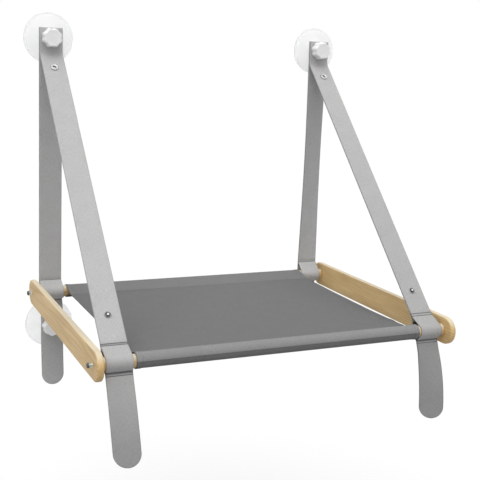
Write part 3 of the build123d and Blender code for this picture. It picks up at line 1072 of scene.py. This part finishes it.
def makeTail(side, sign):
    # the tail runs down from the loop's lower edge and bends past its pivot towards its end lean
    x = sign * abs(middle("front_tail_left").x)
    lean, endLean, length = tail["shapes"][side]
    down = math.radians(-90 - lean)
    start = fromDowel(frontCentre, down, frontStrap["lowerEdge"])
    pivot = fromDowel(frontCentre, down, tail["pivot"])
    bend = math.radians(lean - endLean)
    radius = (length - tail["endRun"]) / bend
    leg = radius * math.tan(bend / 2)
    knee = (pivot[0] + leg * math.cos(down), pivot[1] + leg * math.sin(down))
    last = leg + tail["endRun"]
    end = (knee[0] + last * math.cos(down + bend), knee[1] + last * math.sin(down + bend))
    corners = [(*start, 0), (*knee, radius), (*end, 0)]
    strip = layStrip("frontTail_" + side, x, straps["width"], straps["columns"], corners, tail["spacing"])
    rowSize = straps["columns"] + 1
    roundEnd(strip, x, rowSize, straps["width"] / 2)
    mapAgain(strip, x)
    twistStrip(strip, x, tail["twist"][side], Vector((x, *start)), rowSize)
    shadeAlong(strip, rowSize, *tail["shade"][side])
    rows = len(strip.data.vertices) // rowSize
    for index, vert in enumerate(strip.data.vertices):
        share = (index // rowSize) / (rows - 1)
        vert.co.x += tail["topShift"][side] * (1 - share) + tail["endShift"][side] * share * share
    closeStripEnd(strip)
    thicken(strip, 2 * straps["ply"], straps["edgeRound"])
    dress(strip, strapFabric, "strap_fabric", None, "front_tail_" + side)
    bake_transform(strip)


for side, sign in sides.items():
    makeTail(side, sign)
print("front tails laid")


# Rear straps: a straight back ply and a face ply that tents over the dowel

rearStrap = {
    "upperSeam": {"left": 0.0215, "right": 0.0275},
    "lowerSeam": 0.0195,
    "upperCrease": {"left": 0.0195, "right": 0.0245},
    "lowerCrease": 0.0166,
    "topSeam": (0.0009, 0.0001, 0.7),  # width, depth and painted shade of a row of stitches: the shade stands in for the groove's shadow
    "lowSeam": (0.0018, 0.0001, 0.95),
    "spacing": 0.006,
    "loopSpacing": 0.0008,
    "leanFrom": -0.53,  # below the lower knob the free end stands off the glass
    "lean": {"left": 0.008, "right": 0.004},
    "twist": {"left": 0.0, "right": 13.0},
    "drift": {"left": (-0.0014, 0.0022), "right": (0.0, 0.0)},
    "driftDrop": 0.08,
}
rearCentre = (rearDowel.y, rearDowel.z)


def easeRearStrap(piece, side, x, topZ):
    # the free end leans into the room, and the long run between cup and dowel turns a little
    seamZ = rearCentre[1] + rearStrap["upperSeam"][side]
    for vert in piece.data.vertices:
        below = rearStrap["leanFrom"] - vert.co.z
        if below > 0:
            reach = rearStrap["leanFrom"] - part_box("rear_strap_back_" + side)[0].z
            vert.co.y -= rearStrap["lean"][side] * (below / reach) ** 1.6
        share = (vert.co.z - seamZ) / (topZ - seamZ)
        if 0 < share < 1:
            turn = math.radians(rearStrap["twist"][side]) * math.sin(math.pi * share)
            across, depth = vert.co.x - x, vert.co.y - (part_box("rear_strap_back_" + side)[0].y)
            vert.co.x = x + across * math.cos(turn) - depth * math.sin(turn)
            vert.co.y += across * math.sin(turn)
        # the strap drifts sideways between the cups: one way as far as the loop, the other below it
        atLoop, atEnd = rearStrap["drift"][side]
        if share > 0:
            vert.co.x += atLoop * (1 - min(share, 1.0))
        else:
            low = min(1.0, (seamZ - vert.co.z) / rearStrap["driftDrop"])
            vert.co.x += atLoop + (atEnd - atLoop) * low * low * (3 - 2 * low)


def makeRearStrap(side, sign):
    x = sign * abs(middle("rear_strap_back_left").x)
    low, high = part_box("rear_strap_back_" + side)
    backY = (low.y + high.y) / 2
    faceY = backY - straps["ply"]
    seamTop = (faceY, rearCentre[1] + rearStrap["upperSeam"][side])
    seamLow = (faceY, rearCentre[1] - rearStrap["lowerSeam"])
    creaseTop = (faceY, rearCentre[1] + rearStrap["upperCrease"][side])
    creaseLow = (faceY, rearCentre[1] - rearStrap["lowerCrease"])
    arc = aroundDowel(creaseTop, creaseLow, rearCentre, loopRadius, 1)
    routes = {
        "Back": [(backY, high.z, 0), (backY, low.z, 0)],
        "Face": [(faceY, high.z, 0), (*seamTop, 0)],
        "Loop": [(*seamTop, 0), (*creaseTop, 0.0008), *arc, (*creaseLow, 0.0008), (*seamLow, 0)],
        "End": [(*seamLow, 0), (faceY, low.z, 0)],
    }
    plies = {}
    for label, corners in routes.items():
        spacing = rearStrap["loopSpacing"] if label == "Loop" else rearStrap["spacing"]
        if label in ("Back", "End"):
            spacing = tail["spacing"]
        ply = layStrip("rearStrap%s_%s" % (label, side), x, straps["width"], straps["columns"], corners, spacing)
        if label in ("Back", "End"):
            roundEnd(ply, x, straps["columns"] + 1, straps["width"] / 2)
            mapAgain(ply, x)
            closeStripEnd(ply)
        easeRearStrap(ply, side, x, high.z)
        if label == "Loop":
            seams = [(*creaseTop, *rearStrap["topSeam"]), (*creaseLow, *rearStrap["lowSeam"])]
            pressSeams(ply, straps["columns"] + 1, seams)
        thicken(ply, straps["ply"], straps["edgeRound"])
        if label == "Loop":
            paintLoopInsideShade(ply, rearCentre, rearStrap["upperCrease"][side], frontStrap["insidePaintedShade"])
        plies[label] = ply
    face = joinPieces([plies["Face"], plies["Loop"], plies["End"]], "rearStrapFace_" + side)
    dress(plies["Back"], strapFabric, "strap_fabric", "root", "rear_strap_back_" + side)
    dress(face, strapFabric, "strap_fabric", "root", "rear_strap_face_" + side)
    rows = []
    for reach in (rearStrap["upperSeam"][side] - 0.001, -rearStrap["lowerSeam"] + 0.001):
        seat = (faceY - straps["ply"] / 2 + 0.00008, rearCentre[1] + reach)
        rows.append(stitchRow("row", x, straps["width"], seat, math.pi))
    dressStitches(rows, "rearLoopStitches_" + side, strapThread, "strap_fabric", "root")


for side, sign in sides.items():
    makeRearStrap(side, sign)
print("rear straps laid")


# Hammock cloth: one canvas strip from the rear seam round the rear dowel, over, and round the front one

cloth = {
    "thickness": 0.001,
    "sleeveDepth": 0.036,
    "frontDepth": 0.026,
    "seamLap": 0.005,
    "level": 0.0015,
    "sag": 0.001,
    "curveIn": 0.002,
    "spacing": 0.0032,
    "arcSpacing": 0.0008,
    "columns": 90,
    "hemColumns": (0.0, 0.0009, 0.0035, 0.0062, 0.0071, 0.0079, 0.0092),
    "hemWidth": 0.0076,
    "hemLift": 0.0005,
    "seamDip": 0.0005,
    "seamWidth": 0.0024,
    # painted shade in the crease at the rear seam
    "seamShade": 0.08,
    "seamShadeWidth": 0.0016,
    "fieldShade": 0.4,  # painted shade: the field is darker than the sleeves, so the sleeves look better lit
    # painted shade on the rear sleeve, less than on the field
    "rearShade": 0.28,
    "sleeveShade": 0.0,
    "underShade": 0.34,  # painted shade below the folded edge, where the sleeve turns down
    "foldAngle": 9.0,  # the folded edge of the front sleeve, in degrees above the dowel's middle
    "foldLift": 0.001,
    "foldWidth": 0.0009,
    # painted shadow under the folded edge
    "foldShade": 0.5,
    "ripple": 0.0006,
    "pull": {"left": 0.0004, "right": 0.0011},  # creases that run in from the front corners
    "pullReach": 0.075,
}


def spreadColumns(strip, halfWidth, rowSize):
    # the outer columns close up to the hems, and the rest share what is left evenly
    edge = cloth["hemColumns"]
    inner = rowSize - 2 * len(edge)
    start = halfWidth - edge[-1]
    step = 2 * start / (inner + 1)
    places = [halfWidth - reach for reach in edge]
    places += [start - step * (index + 1) for index in range(inner)]
    places += [-place for place in reversed(places[: len(edge)])]
    firstX = strip.data.vertices[0].co.x
    for index, vert in enumerate(strip.data.vertices):
        vert.co.x = math.copysign(1, firstX) * places[index % rowSize]


def shapeCloth(strip, halfWidth, rowSize, rearSeam, frontSeam):
    # each row moves along its own outward direction: hems, seam dips, the fold, ripples and pulls
    verts = strip.data.vertices
    rows = len(verts) // rowSize
    places = [verts[row * rowSize].co.copy() for row in range(rows)]
    mask = strip.data.attributes.new("shade", "FLOAT", "POINT")
    for row in range(rows):
        before, after = places[max(row - 1, 0)], places[min(row + 1, rows - 1)]
        along = (after - before).normalized()
        outward = Vector((0, along.z, -along.y))
        here = places[row]
        flat = rearSeam[0] > here.y > frontSeam[0] and outward.z > 0.9
        onTop = outward.z > 0.3
        # a second layer covers the front sleeve from near its seam down to a folded edge
        angle = math.degrees(math.atan2(here.z - frontCentre[1], frontCentre[0] - here.y))
        foldReach = math.radians(angle - cloth["foldAngle"]) * dowelRadius
        fromSeam = (frontSeam[0] - here.y) / cloth["frontDepth"]
        overFold = 0.0
        if here.y < frontSeam[0] and -60 < angle:
            overFold = min(1.0, max(0.0, foldReach / cloth["foldWidth"] + 1)) * min(1.0, fromSeam * 3)
        # painted shade by row: the field darker than the sleeves, the front sleeve darker below its fold, and a little
        # in the rear seam's crease
        rowShade = cloth["fieldShade"]
        if here.y > rearSeam[0]:
            rowShade = cloth["rearShade"]
        elif here.y < frontSeam[0]:
            share = min(1.0, max(0.0, foldReach / cloth["foldWidth"] + 1))
            rowShade = cloth["underShade"] + (cloth["sleeveShade"] - cloth["underShade"]) * share
        rowShade += cloth["seamShade"] * bell(here.y - rearSeam[0], cloth["seamShadeWidth"])
        for column in range(rowSize):
            vert = verts[row * rowSize + column]
            lift = 0.0
            mask.data[vert.index].value = rowShade
            fromEdge = halfWidth - abs(vert.co.x)
            if fromEdge < cloth["hemWidth"]:
                lift += cloth["hemLift"]
            elif fromEdge < cloth["hemWidth"] + 0.0006:
                lift -= cloth["hemLift"] * 0.5
            if onTop:
                for seamY in (rearSeam[0], frontSeam[0]):
                    lift -= cloth["seamDip"] * bell(here.y - seamY, cloth["seamWidth"])
            if overFold > 0:
                lift += cloth["foldLift"] * overFold
                # painted shadow just under the folded edge
                foldShade = cloth["foldShade"] * bell(foldReach + cloth["foldWidth"], cloth["foldWidth"] * 0.8)
                mask.data[vert.index].value = max(mask.data[vert.index].value, foldShade)
            if flat:
                lift += cloth["ripple"] * (noise.noise(Vector((vert.co.x * 9, here.y * 14, 1.7))))
                for side, sign in sides.items():
                    apart = Vector((vert.co.x - sign * halfWidth, here.y - frontSeam[0] + 0.01, 0))
                    fan = math.atan2(apart.y, -sign * apart.x)
                    wave = math.sin(11 * fan + 3.1 * noise.noise(apart * 30))
                    lift += cloth["pull"][side] * wave * bell(apart.length, cloth["pullReach"])
            vert.co += outward * lift


def makeCloth():
    low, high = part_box("hammock_cloth")
    halfWidth = (high.x - low.x) / 2
    radius = dowelRadius + 0.0001 + cloth["thickness"] / 2
    level = rearCentre[1] + cloth["level"]
    under = level - cloth["thickness"] * 1.05
    rearSeam = (rearCentre[0] - cloth["sleeveDepth"], level)
    frontSeam = (frontCentre[0] + cloth["frontDepth"], level)
    rearUnder = (rearSeam[0], under)
    frontUnder = (frontSeam[0], under)
    rearArc = aroundDowel(rearUnder, rearSeam, rearCentre, radius, 1)
    frontArc = aroundDowel(frontSeam, frontUnder, frontCentre, radius, 1)
    corners = [
        (rearUnder[0] - cloth["seamLap"], under, 0),
        (*rearUnder, 0.004),
        *rearArc,
        (*rearSeam, 0.006),
        (*frontSeam, 0.006),
        *frontArc,
        (*frontUnder, 0.004),
        (frontUnder[0] + cloth["seamLap"], under, 0),
    ]
    strip = layStrip(
        "hammockCloth", 0.0, 2 * halfWidth, cloth["columns"], corners, cloth["spacing"], cloth["arcSpacing"]
    )
    rowSize = cloth["columns"] + 1
    spreadColumns(strip, halfWidth, rowSize)
    mapAgain(strip, 0.0)
    shapeCloth(strip, halfWidth, rowSize, rearSeam, frontSeam)
    middleY = (rearSeam[0] + frontSeam[0]) / 2
    halfSpan = (rearSeam[0] - frontSeam[0]) / 2
    for vert in strip.data.vertices:
        share = (vert.co.y - middleY) / halfSpan
        if abs(share) < 1:
            vert.co.x *= 1 - cloth["curveIn"] / halfWidth * (1 - share * share)
            vert.co.z -= cloth["sag"] * (1 - share * share)
    thicken(strip, cloth["thickness"], 0.0003)
    rows = []
    for seamY in (rearSeam[0], frontSeam[0]):
        seat = (seamY, level + cloth["thickness"] / 2 - cloth["seamDip"] - 0.00005)
        rows.append(stitchRow("row", 0.0, 2 * halfWidth, seat, math.pi / 2))
    dressStitches(rows, "clothStitches", canvasThread, "canvas", "tray")
    strip.data.materials.clear()
    strip.data.materials.append(canvasFabric)
    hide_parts("hammock_cloth")
    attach(strip, "tray")


makeCloth()
bpy.data.objects.remove(stitchModel)
print("cloth stretched")


# Suction cups


def ringForm(name, rings, segments):
    # rings are (radius, height): a circle is extruded ring by ring along +Z
    deselectAll()
    radius, height = rings[0]
    bpy.ops.mesh.primitive_circle_add(vertices=segments, radius=radius, location=(0, 0, height))
    piece = bpy.context.object
    piece.name = name
    piece.data.name = name
    settle(piece)
    startEdit(piece)
    bpy.ops.mesh.select_all(action="SELECT")
    for nextRadius, nextHeight in rings[1:]:
        bpy.ops.mesh.extrude_region_move(TRANSFORM_OT_translate={"value": (0, 0, nextHeight - height)})
        scale = nextRadius / radius
        bpy.ops.transform.resize(value=(scale, scale, 1), center_override=(0, 0, 0))
        radius, height = nextRadius, nextHeight
    return piece


def closeEnd():
    bpy.ops.mesh.merge(type="CENTER")


def tidyForm(piece):
    bpy.ops.mesh.select_all(action="SELECT")
    bpy.ops.mesh.remove_doubles(threshold=1e-6)
    bpy.ops.mesh.normals_make_consistent(inside=False)
    stopEdit()


def stand(piece, x, y, z, turn=math.pi / 2):
    # a form made along +Z is turned to point into the room, -Y, and put in its place
    piece.rotation_euler = (turn, 0, 0)
    piece.location = (x, y, z)
    settle(piece)


cup = {
    "radius": 0.043,
    "lipInner": 0.0385,
    "hub": 0.014,
    "height": 0.018,
    "bore": 0.0031,
    "segments": 72,
}


def makeCup():
    top = cup["height"]
    rings = [
        (0.002, 0.0074),
        (0.012, 0.0067),
        (0.022, 0.0046),
        (0.031, 0.0024),
        (0.0372, 0.0006),
        (cup["lipInner"], 0.00005),
        (0.0408, 0.0),
        (0.0424, 0.00005),
        (cup["radius"], 0.0006),
        (0.0429, 0.0013),
        (0.0421, 0.0019),
        (0.0414, 0.002),
        (0.0407, 0.0014),
        (0.04, 0.0015),
        (0.0392, 0.0026),
        (0.0383, 0.0033),
        (0.034, 0.0049),
        (0.028, 0.0071),
        (0.022, 0.0094),
        (0.0178, 0.0117),
        (0.0155, 0.0137),
        (cup["hub"] + 0.0002, 0.0156),
        (cup["hub"], top - 0.0008),
        (cup["hub"] - 0.0006, top - 0.0001),
        (cup["hub"] - 0.0012, top),
        (0.006, top),
        (cup["bore"] + 0.0002, top),
        (cup["bore"], top - 0.0003),
        (cup["bore"], top - 0.004),
        (cup["bore"], 0.0136),
    ]
    piece = ringForm("suctionCup", rings, cup["segments"])
    tidyForm(piece)
    pickVerts(piece, lambda co: co.xy.length < 0.0021 and co.z < 0.0075)
    bpy.ops.mesh.merge(type="CENTER")
    tidyForm(piece)
    applyModifier(piece, "SUBSURF", levels=1, render_levels=1)
    smoothShade(piece, 60)
    return piece


cupModel = makeCup()
for place in cupPlaces:
    centre = middle("suction_cup_" + place)
    piece = newCopy(cupModel, "suctionCup_" + place)
    stand(piece, centre.x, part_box("suction_cup_" + place)[1].y, centre.z)
    dress(piece, cupClear, "cup_pvc", "root", "suction_cup_" + place)
bpy.data.objects.remove(cupModel)
print("cups placed")


# Knobs

knob = {"radius": 0.017, "height": 0.0175, "taper": 4.0, "recess": 0.0003, "lobes": 8, "segments": 64}


def makeKnob():
    radius = knob["radius"]
    height = knob["height"]
    slope = math.tan(math.radians(knob["taper"]))
    rings = [(0.0052, 0.0006), (radius * 0.9, 0.0), (radius * 0.985, 0.0002), (radius, 0.0011)]
    rings += [(radius - z * slope, z) for z in (height * 0.3, height * 0.6, height * 0.88)]
    face = radius - height * slope
    rings += [
        (face - 0.0003, height - 0.0007),
        (face - 0.0009, height - 0.0002),
        (face - 0.0016, height),
        (face * 0.7, height),
        (face * 0.66, height - knob["recess"]),
        (face * 0.2, height - knob["recess"]),
        (face * 0.02, height - knob["recess"]),
    ]
    piece = ringForm("handKnob", rings, knob["segments"])
    closeEnd()
    tidyForm(piece)
    perLobe = knob["segments"] // knob["lobes"]
    step = 2 * math.pi / knob["segments"]
    for offset, share in ((0, 0.9), (1, 0.915), (perLobe - 1, 0.915), (2, 0.96), (perLobe - 2, 0.96)):

        def inScallop(co):
            slot = round((math.atan2(co.y, co.x) % (2 * math.pi)) / step) % perLobe
            return co.xy.length > 0.011 and slot == offset

        pickVerts(piece, inScallop)
        bpy.ops.transform.resize(value=(share, share, 1), center_override=(0, 0, 0))
        stopEdit()
    applyModifier(piece, "SUBSURF", levels=1, render_levels=1)
    smoothShade(piece, 50)
    return piece


knobTurns = {"upper_left": 0.0, "upper_right": 9.0, "lower_left": 16.0, "lower_right": -7.0}  # as each was tightened
knobModel = makeKnob()
for place in cupPlaces:
    low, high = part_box("knob_" + place)
    centre = (low + high) / 2
    piece = newCopy(knobModel, "knob_" + place + "_shell")
    piece.rotation_euler = (0, 0, math.radians(knobTurns[place]))
    settle(piece)
    stand(piece, centre.x, high.y, centre.z)
    dress(piece, knobPlastic, "knob_plastic", "knob_" + place, "knob_" + place)
bpy.data.objects.remove(knobModel)
print("knobs placed")


# Snap fasteners

snap = {"socket": 0.0066, "stud": 0.0055, "cap": 0.0056, "segments": 40}


def turnedMetal(name, rings, shadeAt=None):
    # a turned metal part along +Z; shadeAt gives how much painted shade its metal gets at a radius and a height
    piece = ringForm(name, rings, snap["segments"])
    closeEnd()
    tidyForm(piece)
    applyModifier(piece, "SUBSURF", levels=1, render_levels=1)
    smoothShade(piece, 50)
    if shadeAt:
        mask = piece.data.attributes.new("shade", "FLOAT", "POINT")
        for vert in piece.data.vertices:
            mask.data[vert.index].value = shadeAt(vert.co.xy.length, vert.co.z)
    return piece


def makeSocket():
    # a flat ring round a raised spring ring, with a deep hole
    rim = snap["socket"]
    rings = [
        (rim - 0.0002, 0.0),
        (rim, 0.0003),
        (rim, 0.0009),
        (rim - 0.0003, 0.0013),
        (rim - 0.001, 0.0015),
        (rim - 0.0015, 0.0011),
        (rim - 0.0022, 0.001),
        (rim - 0.0025, 0.0018),
        (rim - 0.003, 0.0021),
        (0.0029, 0.0019),
        (0.0026, 0.0013),
        (0.0025, -0.0009),
        (0.0001, -0.0009),
    ]

    # painted shade in the hole and round the outer rim, and a little elsewhere
    def shadeAt(radius, height):
        if radius < 0.0027 and height < 0.0016:
            return 1.0
        return 0.7 if radius > rim - 0.0006 else 0.1

    return turnedMetal("snapSocket", rings, shadeAt)


def makeStud():
    # a flat ring with a dished floor and a mushroom nub
    rim = snap["stud"]
    rings = [
        (rim - 0.0002, 0.0),
        (rim, 0.0003),
        (rim, 0.0007),
        (rim - 0.0004, 0.0011),
        (rim - 0.0009, 0.0012),
        (rim - 0.0014, 0.0008),
        (0.0028, 0.0007),
        (0.002, 0.0008),
        (0.0016, 0.0011),
        (0.0017, 0.0018),
        (0.0019, 0.0023),
        (0.0017, 0.0028),
        (0.0012, 0.0031),
        (0.0006, 0.0032),
        (0.0001, 0.0032),
    ]

    # painted shade on the dished floor and on the outer ring; the nub is left bright
    def shadeAt(radius, height):
        if height < 0.0016 and radius < rim - 0.0012:
            return 0.9
        return 0.55 if radius > rim - 0.0012 else 0.0

    return turnedMetal("snapStud", rings, shadeAt)


def makeCap():
    rim = snap["cap"]
    rings = [
        (0.0019, 0.0),
        (rim - 0.0004, 0.0),
        (rim, 0.0002),
        (rim - 0.0001, 0.0005),
        (rim - 0.0008, 0.0009),
        (0.003, 0.0012),
        (0.0001, 0.0013),
    ]
    return turnedMetal("snapCap", rings)


def onStrap(model, name, nodeName, outward, bodyName):
    # seats a snap part on the strap's face or back, square to the slanting run
    piece = newCopy(model, name)
    centre = middle(nodeName)
    along = (centre.y - frontCentre[0]) * math.cos(strapHeading) + (centre.z - frontCentre[1]) * math.sin(strapHeading)
    seat = fromDowel(frontCentre, strapHeading, along, outward * (straps["ply"] + 0.00002))
    normalAngle = strapHeading + outward * math.pi / 2
    piece.rotation_euler = (normalAngle - math.pi / 2, 0, 0)
    piece.location = (centre.x, seat[0], seat[1])
    settle(piece)
    dress(piece, snapNickel, "snap_metal", bodyName, nodeName)


socketModel, studModel, capModel = makeSocket(), makeStud(), makeCap()
for side in sides:
    onStrap(socketModel, "snapSocket_" + side, "snap_socket_" + side, 1, "root")
    onStrap(capModel, "snapSocketCap_" + side, "snap_socket_cap_" + side, -1, "root")
    onStrap(studModel, "snapStud_" + side, "snap_stud_" + side, 1, "tray")
    onStrap(capModel, "snapStudCap_" + side, "snap_stud_cap_" + side, -1, "tray")
for model in (socketModel, studModel, capModel):
    bpy.data.objects.remove(model)
print("snaps placed")


# Rail bolts

bolt = {
    "shank": 0.0027,
    "head": 0.0041,
    "standoff": 0.005,
    "pitch": 0.0008,
    "segments": 32,
    "headShade": 0.88,  # painted shade for the dark reflection on the head, which makes it blacker than the bright shank
}


def makeBolt():
    # along +Z: shank from inside the rail, then the pan head
    shank = bolt["shank"]
    rings = [(0.0001, -0.02), (shank - 0.0005, -0.02), (shank, -0.0195), (shank, -0.0002)]
    height = 0.0
    while height < bolt["standoff"] - bolt["pitch"]:
        rings += [
            (shank - 0.0003, height),
            (shank + 0.00005, height + bolt["pitch"] * 0.5),
        ]
        height += bolt["pitch"]
    top = bolt["standoff"]
    head = bolt["head"]
    rings += [
        (shank, top - 0.0003),
        (shank, top),
        (head - 0.0002, top),
        (head, top + 0.0002),
        (head, top + 0.0014),
        (head - 0.0003, top + 0.0023),
        (head - 0.0009, top + 0.003),
        (head - 0.0019, top + 0.0035),
        (head - 0.003, top + 0.0036),
        (0.0001, top + 0.0036),
    ]
    piece = ringForm("railBolt", rings, bolt["segments"])
    closeEnd()
    tidyForm(piece)
    smoothShade(piece, 40)
    # painted shade on the head, for the dark surroundings it reflects
    mask = piece.data.attributes.new("shade", "FLOAT", "POINT")
    for vert in piece.data.vertices:
        mask.data[vert.index].value = bolt["headShade"] if vert.co.z > top + 0.0001 else 0.0
    return piece


boltModel = makeBolt()
for side, sign in sides.items():
    for end in ("rear", "front"):
        nodeName = "rail_bolt_%s_%s" % (end, side)
        centre = middle(nodeName)
        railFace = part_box("rail_" + side)[1 if sign > 0 else 0].x
        piece = newCopy(boltModel, "railBolt_%s_%s" % (end, side))
        piece.rotation_euler = (0, sign * math.pi / 2, 0)
        piece.location = (railFace, centre.y, centre.z)
        settle(piece)
        dress(piece, boltZinc, "bolt_zinc", "tray", nodeName)
bpy.data.objects.remove(boltModel)
print("bolts placed")


# Light, floor and camera

stageLook = {
    "floorDrop": 0.34,
    "worldGrey": 0.55,
    "lamps": {  # strength, direction towards the lamp, and softness in degrees
        "keySun": (1.88, (-0.15, -0.25, 0.957), 70.0),
        "fillSun": (0.54, (-0.55, -0.8, 0.25), 120.0),
    },
}


def makeWorld():
    world = bpy.data.worlds.new("studioWorld")
    bpy.context.scene.world = world
    world.use_nodes = True
    tree = world.node_tree
    tree.nodes.clear()
    path = tree.nodes.new("ShaderNodeLightPath")
    seen = mathNode(tree, "MAXIMUM", (0, 0), path.outputs["Is Camera Ray"], path.outputs["Is Glossy Ray"])
    seen = mathNode(tree, "MAXIMUM", (200, 0), seen, path.outputs["Is Transmission Ray"])
    grey = tree.nodes.new("ShaderNodeBackground")
    grey.inputs[0].default_value = (1, 1, 1, 1)
    grey.inputs[1].default_value = stageLook["worldGrey"]
    white = tree.nodes.new("ShaderNodeBackground")
    white.inputs[0].default_value = (1, 1, 1, 1)
    white.inputs[1].default_value = 1.0
    mix = tree.nodes.new("ShaderNodeMixShader")
    output = tree.nodes.new("ShaderNodeOutputWorld")
    tree.links.new(seen, mix.inputs[0])
    tree.links.new(grey.outputs[0], mix.inputs[1])
    tree.links.new(white.outputs[0], mix.inputs[2])
    tree.links.new(mix.outputs[0], output.inputs[0])


def makeFloor():
    lowest = cadBounds[0][2]
    deselectAll()
    bpy.ops.mesh.primitive_plane_add(size=24, location=(0, 0, lowest - stageLook["floorDrop"]))
    floor = bpy.context.object
    floor.name = "floor"
    settle(floor)
    material, tree = newMaterial("floorPale")
    path = tree.nodes.new("ShaderNodeLightPath")
    matt = addNode(tree, "BsdfDiffuse", (0, 0))
    matt.inputs[0].default_value = (0.9, 0.9, 0.9, 1)
    dim = addNode(tree, "BsdfDiffuse", (0, -200))
    dim.inputs[0].default_value = (0.35, 0.35, 0.35, 1)
    glow = addNode(tree, "Emission", (0, 200))
    glow.inputs[1].default_value = 1.0
    seen = mathNode(tree, "MAXIMUM", (0, 400), path.outputs["Is Camera Ray"], path.outputs["Is Glossy Ray"])
    seen = mathNode(tree, "MAXIMUM", (200, 400), seen, path.outputs["Is Transmission Ray"])
    paleMix = addNode(tree, "MixShader", (300, 100))
    paleMix.inputs[0].default_value = 0.65
    tree.links.new(matt.outputs[0], paleMix.inputs[1])
    tree.links.new(glow.outputs[0], paleMix.inputs[2])
    mix = addNode(tree, "MixShader", (600, 0))
    tree.links.new(seen, mix.inputs[0])
    tree.links.new(dim.outputs[0], mix.inputs[1])
    tree.links.new(paleMix.outputs[0], mix.inputs[2])
    output = addNode(tree, "OutputMaterial", (800, 0))
    tree.links.new(mix.outputs[0], output.inputs[0])
    floor.data.materials.append(material)


def makeLamps():
    for name, (strength, towards, softness) in stageLook["lamps"].items():
        data = bpy.data.lights.new(name, "SUN")
        data.energy = strength
        data.angle = math.radians(softness)
        lamp = bpy.data.objects.new(name, data)
        lamp.rotation_euler = Vector(towards).to_track_quat("Z", "Y").to_euler()
        bpy.context.scene.collection.objects.link(lamp)


def makeCamera():
    view = {
        "place": (-0.61015, -1.58668, -0.02981),
        "yaw": -0.4305,
        "pitch": -0.1933,
        "roll": -0.0404,
        "lens": 67.63,
    }
    data = bpy.data.cameras.new("photoCamera")
    data.sensor_width = 36
    data.lens = view["lens"]
    camera = bpy.data.objects.new("photoCamera", data)
    bpy.context.scene.collection.objects.link(camera)
    camera.matrix_world = (
        Matrix.Translation(view["place"])
        @ Matrix.Rotation(view["yaw"], 4, "Z")
        @ Matrix.Rotation(view["pitch"], 4, "X")
        @ Matrix.Rotation(view["roll"], 4, "Y")
        @ Matrix.Rotation(math.pi / 2, 4, "X")
    )
    bpy.context.scene.camera = camera


makeWorld()
makeFloor()
makeLamps()
makeCamera()
bpy.context.scene.view_settings.view_transform = "Standard"
print("stage ready")
